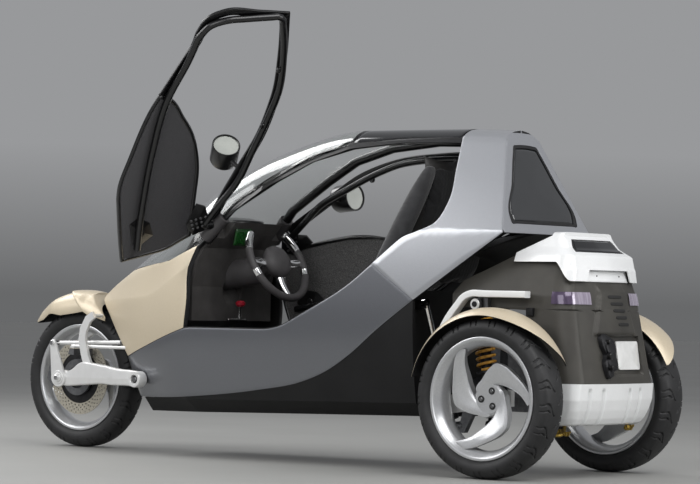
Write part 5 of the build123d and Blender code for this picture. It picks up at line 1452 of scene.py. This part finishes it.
class OBJECT_OT_stage(bpy.types.Operator):
    """Pale floor, soft studio lamps and the camera at the photograph's angle"""
    bl_idname = "three_wheeler.stage"
    bl_label = "Stage"

    def execute(self, context):
        scene = context.scene
        self.camera(scene)
        half = scene.three_wheeler_sizes.floor
        mesh = bpy.data.meshes.new("floor")
        z = -PAD_HEIGHT / 1000
        mesh.from_pydata([(-half, -half, z), (half, -half, z), (half, half, z), (-half, half, z)], [],
                         [(0, 1, 2, 3)])
        floor = bpy.data.objects.new("floor", mesh)
        scene.collection.objects.link(floor)
        # matt painted studio floor
        mesh.materials.append(surface("studio_floor", "#9c9c99", "#979794", 900, 40, 0.02, 0.6))
        world = bpy.data.worlds.new("studio")
        world.use_nodes = True
        tree = world.node_tree
        shine = tree.nodes["Background"]
        shine.inputs["Strength"].default_value = 1.0
        path = add(tree, "ShaderNodeLightPath")
        seen = add(tree, "ShaderNodeMath", {}, {0: path.outputs["Is Camera Ray"],
                                                1: path.outputs["Is Transmission Ray"]}, operation="MAXIMUM")
        where = add(tree, "ShaderNodeTexCoord").outputs["Generated"]
        height = add(tree, "ShaderNodeSeparateXYZ", {}, {"Vector": where}).outputs["Z"]
        ends = {"From Min": 0.0, "From Max": 0.05, "To Min": 0.0, "To Max": 1.0}
        share = add(tree, "ShaderNodeMapRange", ends, {"Value": height}).outputs["Result"]
        back = add(tree, "ShaderNodeValToRGB", {}, {"Fac": share})
        back.color_ramp.elements[0].color = linear("#68696a")
        back.color_ramp.elements[1].color = linear("#98999b")
        room = add(tree, "ShaderNodeValToRGB", {}, {"Fac": share})
        room.color_ramp.elements[0].color = linear("#6f7073")
        room.color_ramp.elements[1].color = linear("#9b9c9f")
        mix = add(tree, "ShaderNodeMix", {}, {}, data_type="RGBA")
        tree.links.new(seen.outputs["Value"], mix.inputs[0])
        tree.links.new(room.outputs["Color"], mix.inputs[6])
        tree.links.new(back.outputs["Color"], mix.inputs[7])
        tree.links.new(mix.outputs[2], shine.inputs["Color"])
        scene.world = world
        for name, spot, aim, size, power in (("key_softbox", (-3.5, 2.0, 5.2), (0.6, 0, 0.3), 4.5, 260),
                                             ("side_softbox", (-1.0, 6.5, 2.6), (0.9, 0, 0.4), 3.5, 110),
                                             ("front_softbox", (4.5, 3.5, 3.2), (1.8, 0, 0.3), 3.0, 110),
                                             ("rear_softbox", (-5.5, -1.5, 2.0), (-0.2, 0, 0.3), 2.5, 90),
                                             ("glass_softbox", (5.8, -0.4, 4.6), (1.2, 0.2, 0.7), 3.2, 150)):
            data = bpy.data.lights.new(name, "AREA")
            data.shape, data.size, data.energy = "SQUARE", size, power
            lamp = bpy.data.objects.new(name, data)
            scene.collection.objects.link(lamp)
            lamp.matrix_world = self.looking(np.array(spot), np.array(aim))
        scene.view_settings.view_transform = "Standard"
        return {"FINISHED"}

    def looking(self, spot, aim):
        back = unit(spot - aim)
        right = unit(np.cross((0, 0, 1), back))
        up = np.cross(back, right)
        return Matrix([[right[i], up[i], back[i], spot[i]] for i in range(3)] + [[0, 0, 0, 1]])

    def camera(self, scene):
        """The photograph's camera: placed 11 m off to the rear left, long lens, slightly rolled."""
        pan, tilt, roll = radians(-53.07), -0.0193, 0.0211
        ahead = np.array([cos(pan) * cos(tilt), sin(pan) * cos(tilt), -sin(tilt)])
        right = unit(np.cross(ahead, (0, 0, 1)))
        up = np.cross(right, ahead)
        right, up = cos(roll) * right + sin(roll) * up, -sin(roll) * right + cos(roll) * up
        spot = (-6.2887, 9.6845, 0.6585 - PAD_HEIGHT / 1000)
        data = bpy.data.cameras.new("view")
        data.sensor_width, data.lens = 36, 2990.68 * 36 / 700
        view = bpy.data.objects.new("view", data)
        scene.collection.objects.link(view)
        view.matrix_world = Matrix([[right[i], up[i], -ahead[i], spot[i]] for i in range(3)] + [[0, 0, 0, 1]])
        scene.camera = view


class VIEW3D_PT_three_wheeler(bpy.types.Panel):
    """Sidebar panel with the settings and every piece"""
    bl_label = "Three wheeler"
    bl_idname = "VIEW3D_PT_three_wheeler"
    bl_space_type = "VIEW_3D"
    bl_region_type = "UI"
    bl_category = "Three wheeler"

    def draw(self, context):
        for group in (context.scene.three_wheeler_paint, context.scene.three_wheeler_sizes):
            for name in group.bl_rna.properties.keys():
                if name not in ("rna_type", "name"):
                    self.layout.prop(group, name)
        for operator in OPERATORS:
            self.layout.operator(operator.bl_idname)


OPERATORS = (OBJECT_OT_stage, OBJECT_OT_carried_nodes, OBJECT_OT_cabin_panels, OBJECT_OT_doors,
             OBJECT_OT_wheels, OBJECT_OT_rear_module, OBJECT_OT_fenders, OBJECT_OT_steering, OBJECT_OT_seats)
CLASSES = (PaintSettings, SizeSettings) + OPERATORS + (VIEW3D_PT_three_wheeler,)


def register():
    for item in CLASSES:
        bpy.utils.register_class(item)
    bpy.types.Scene.three_wheeler_paint = bpy.props.PointerProperty(type=PaintSettings)
    bpy.types.Scene.three_wheeler_sizes = bpy.props.PointerProperty(type=SizeSettings)


def unregister():
    del bpy.types.Scene.three_wheeler_sizes
    del bpy.types.Scene.three_wheeler_paint
    for item in reversed(CLASSES):
        bpy.utils.unregister_class(item)


def main():
    """Build every piece in order."""
    register()
    make_materials()
    for operator in OPERATORS:
        group, name = operator.bl_idname.split(".")
        getattr(getattr(bpy.ops, group), name)()


if __name__ == "__main__":
    main()
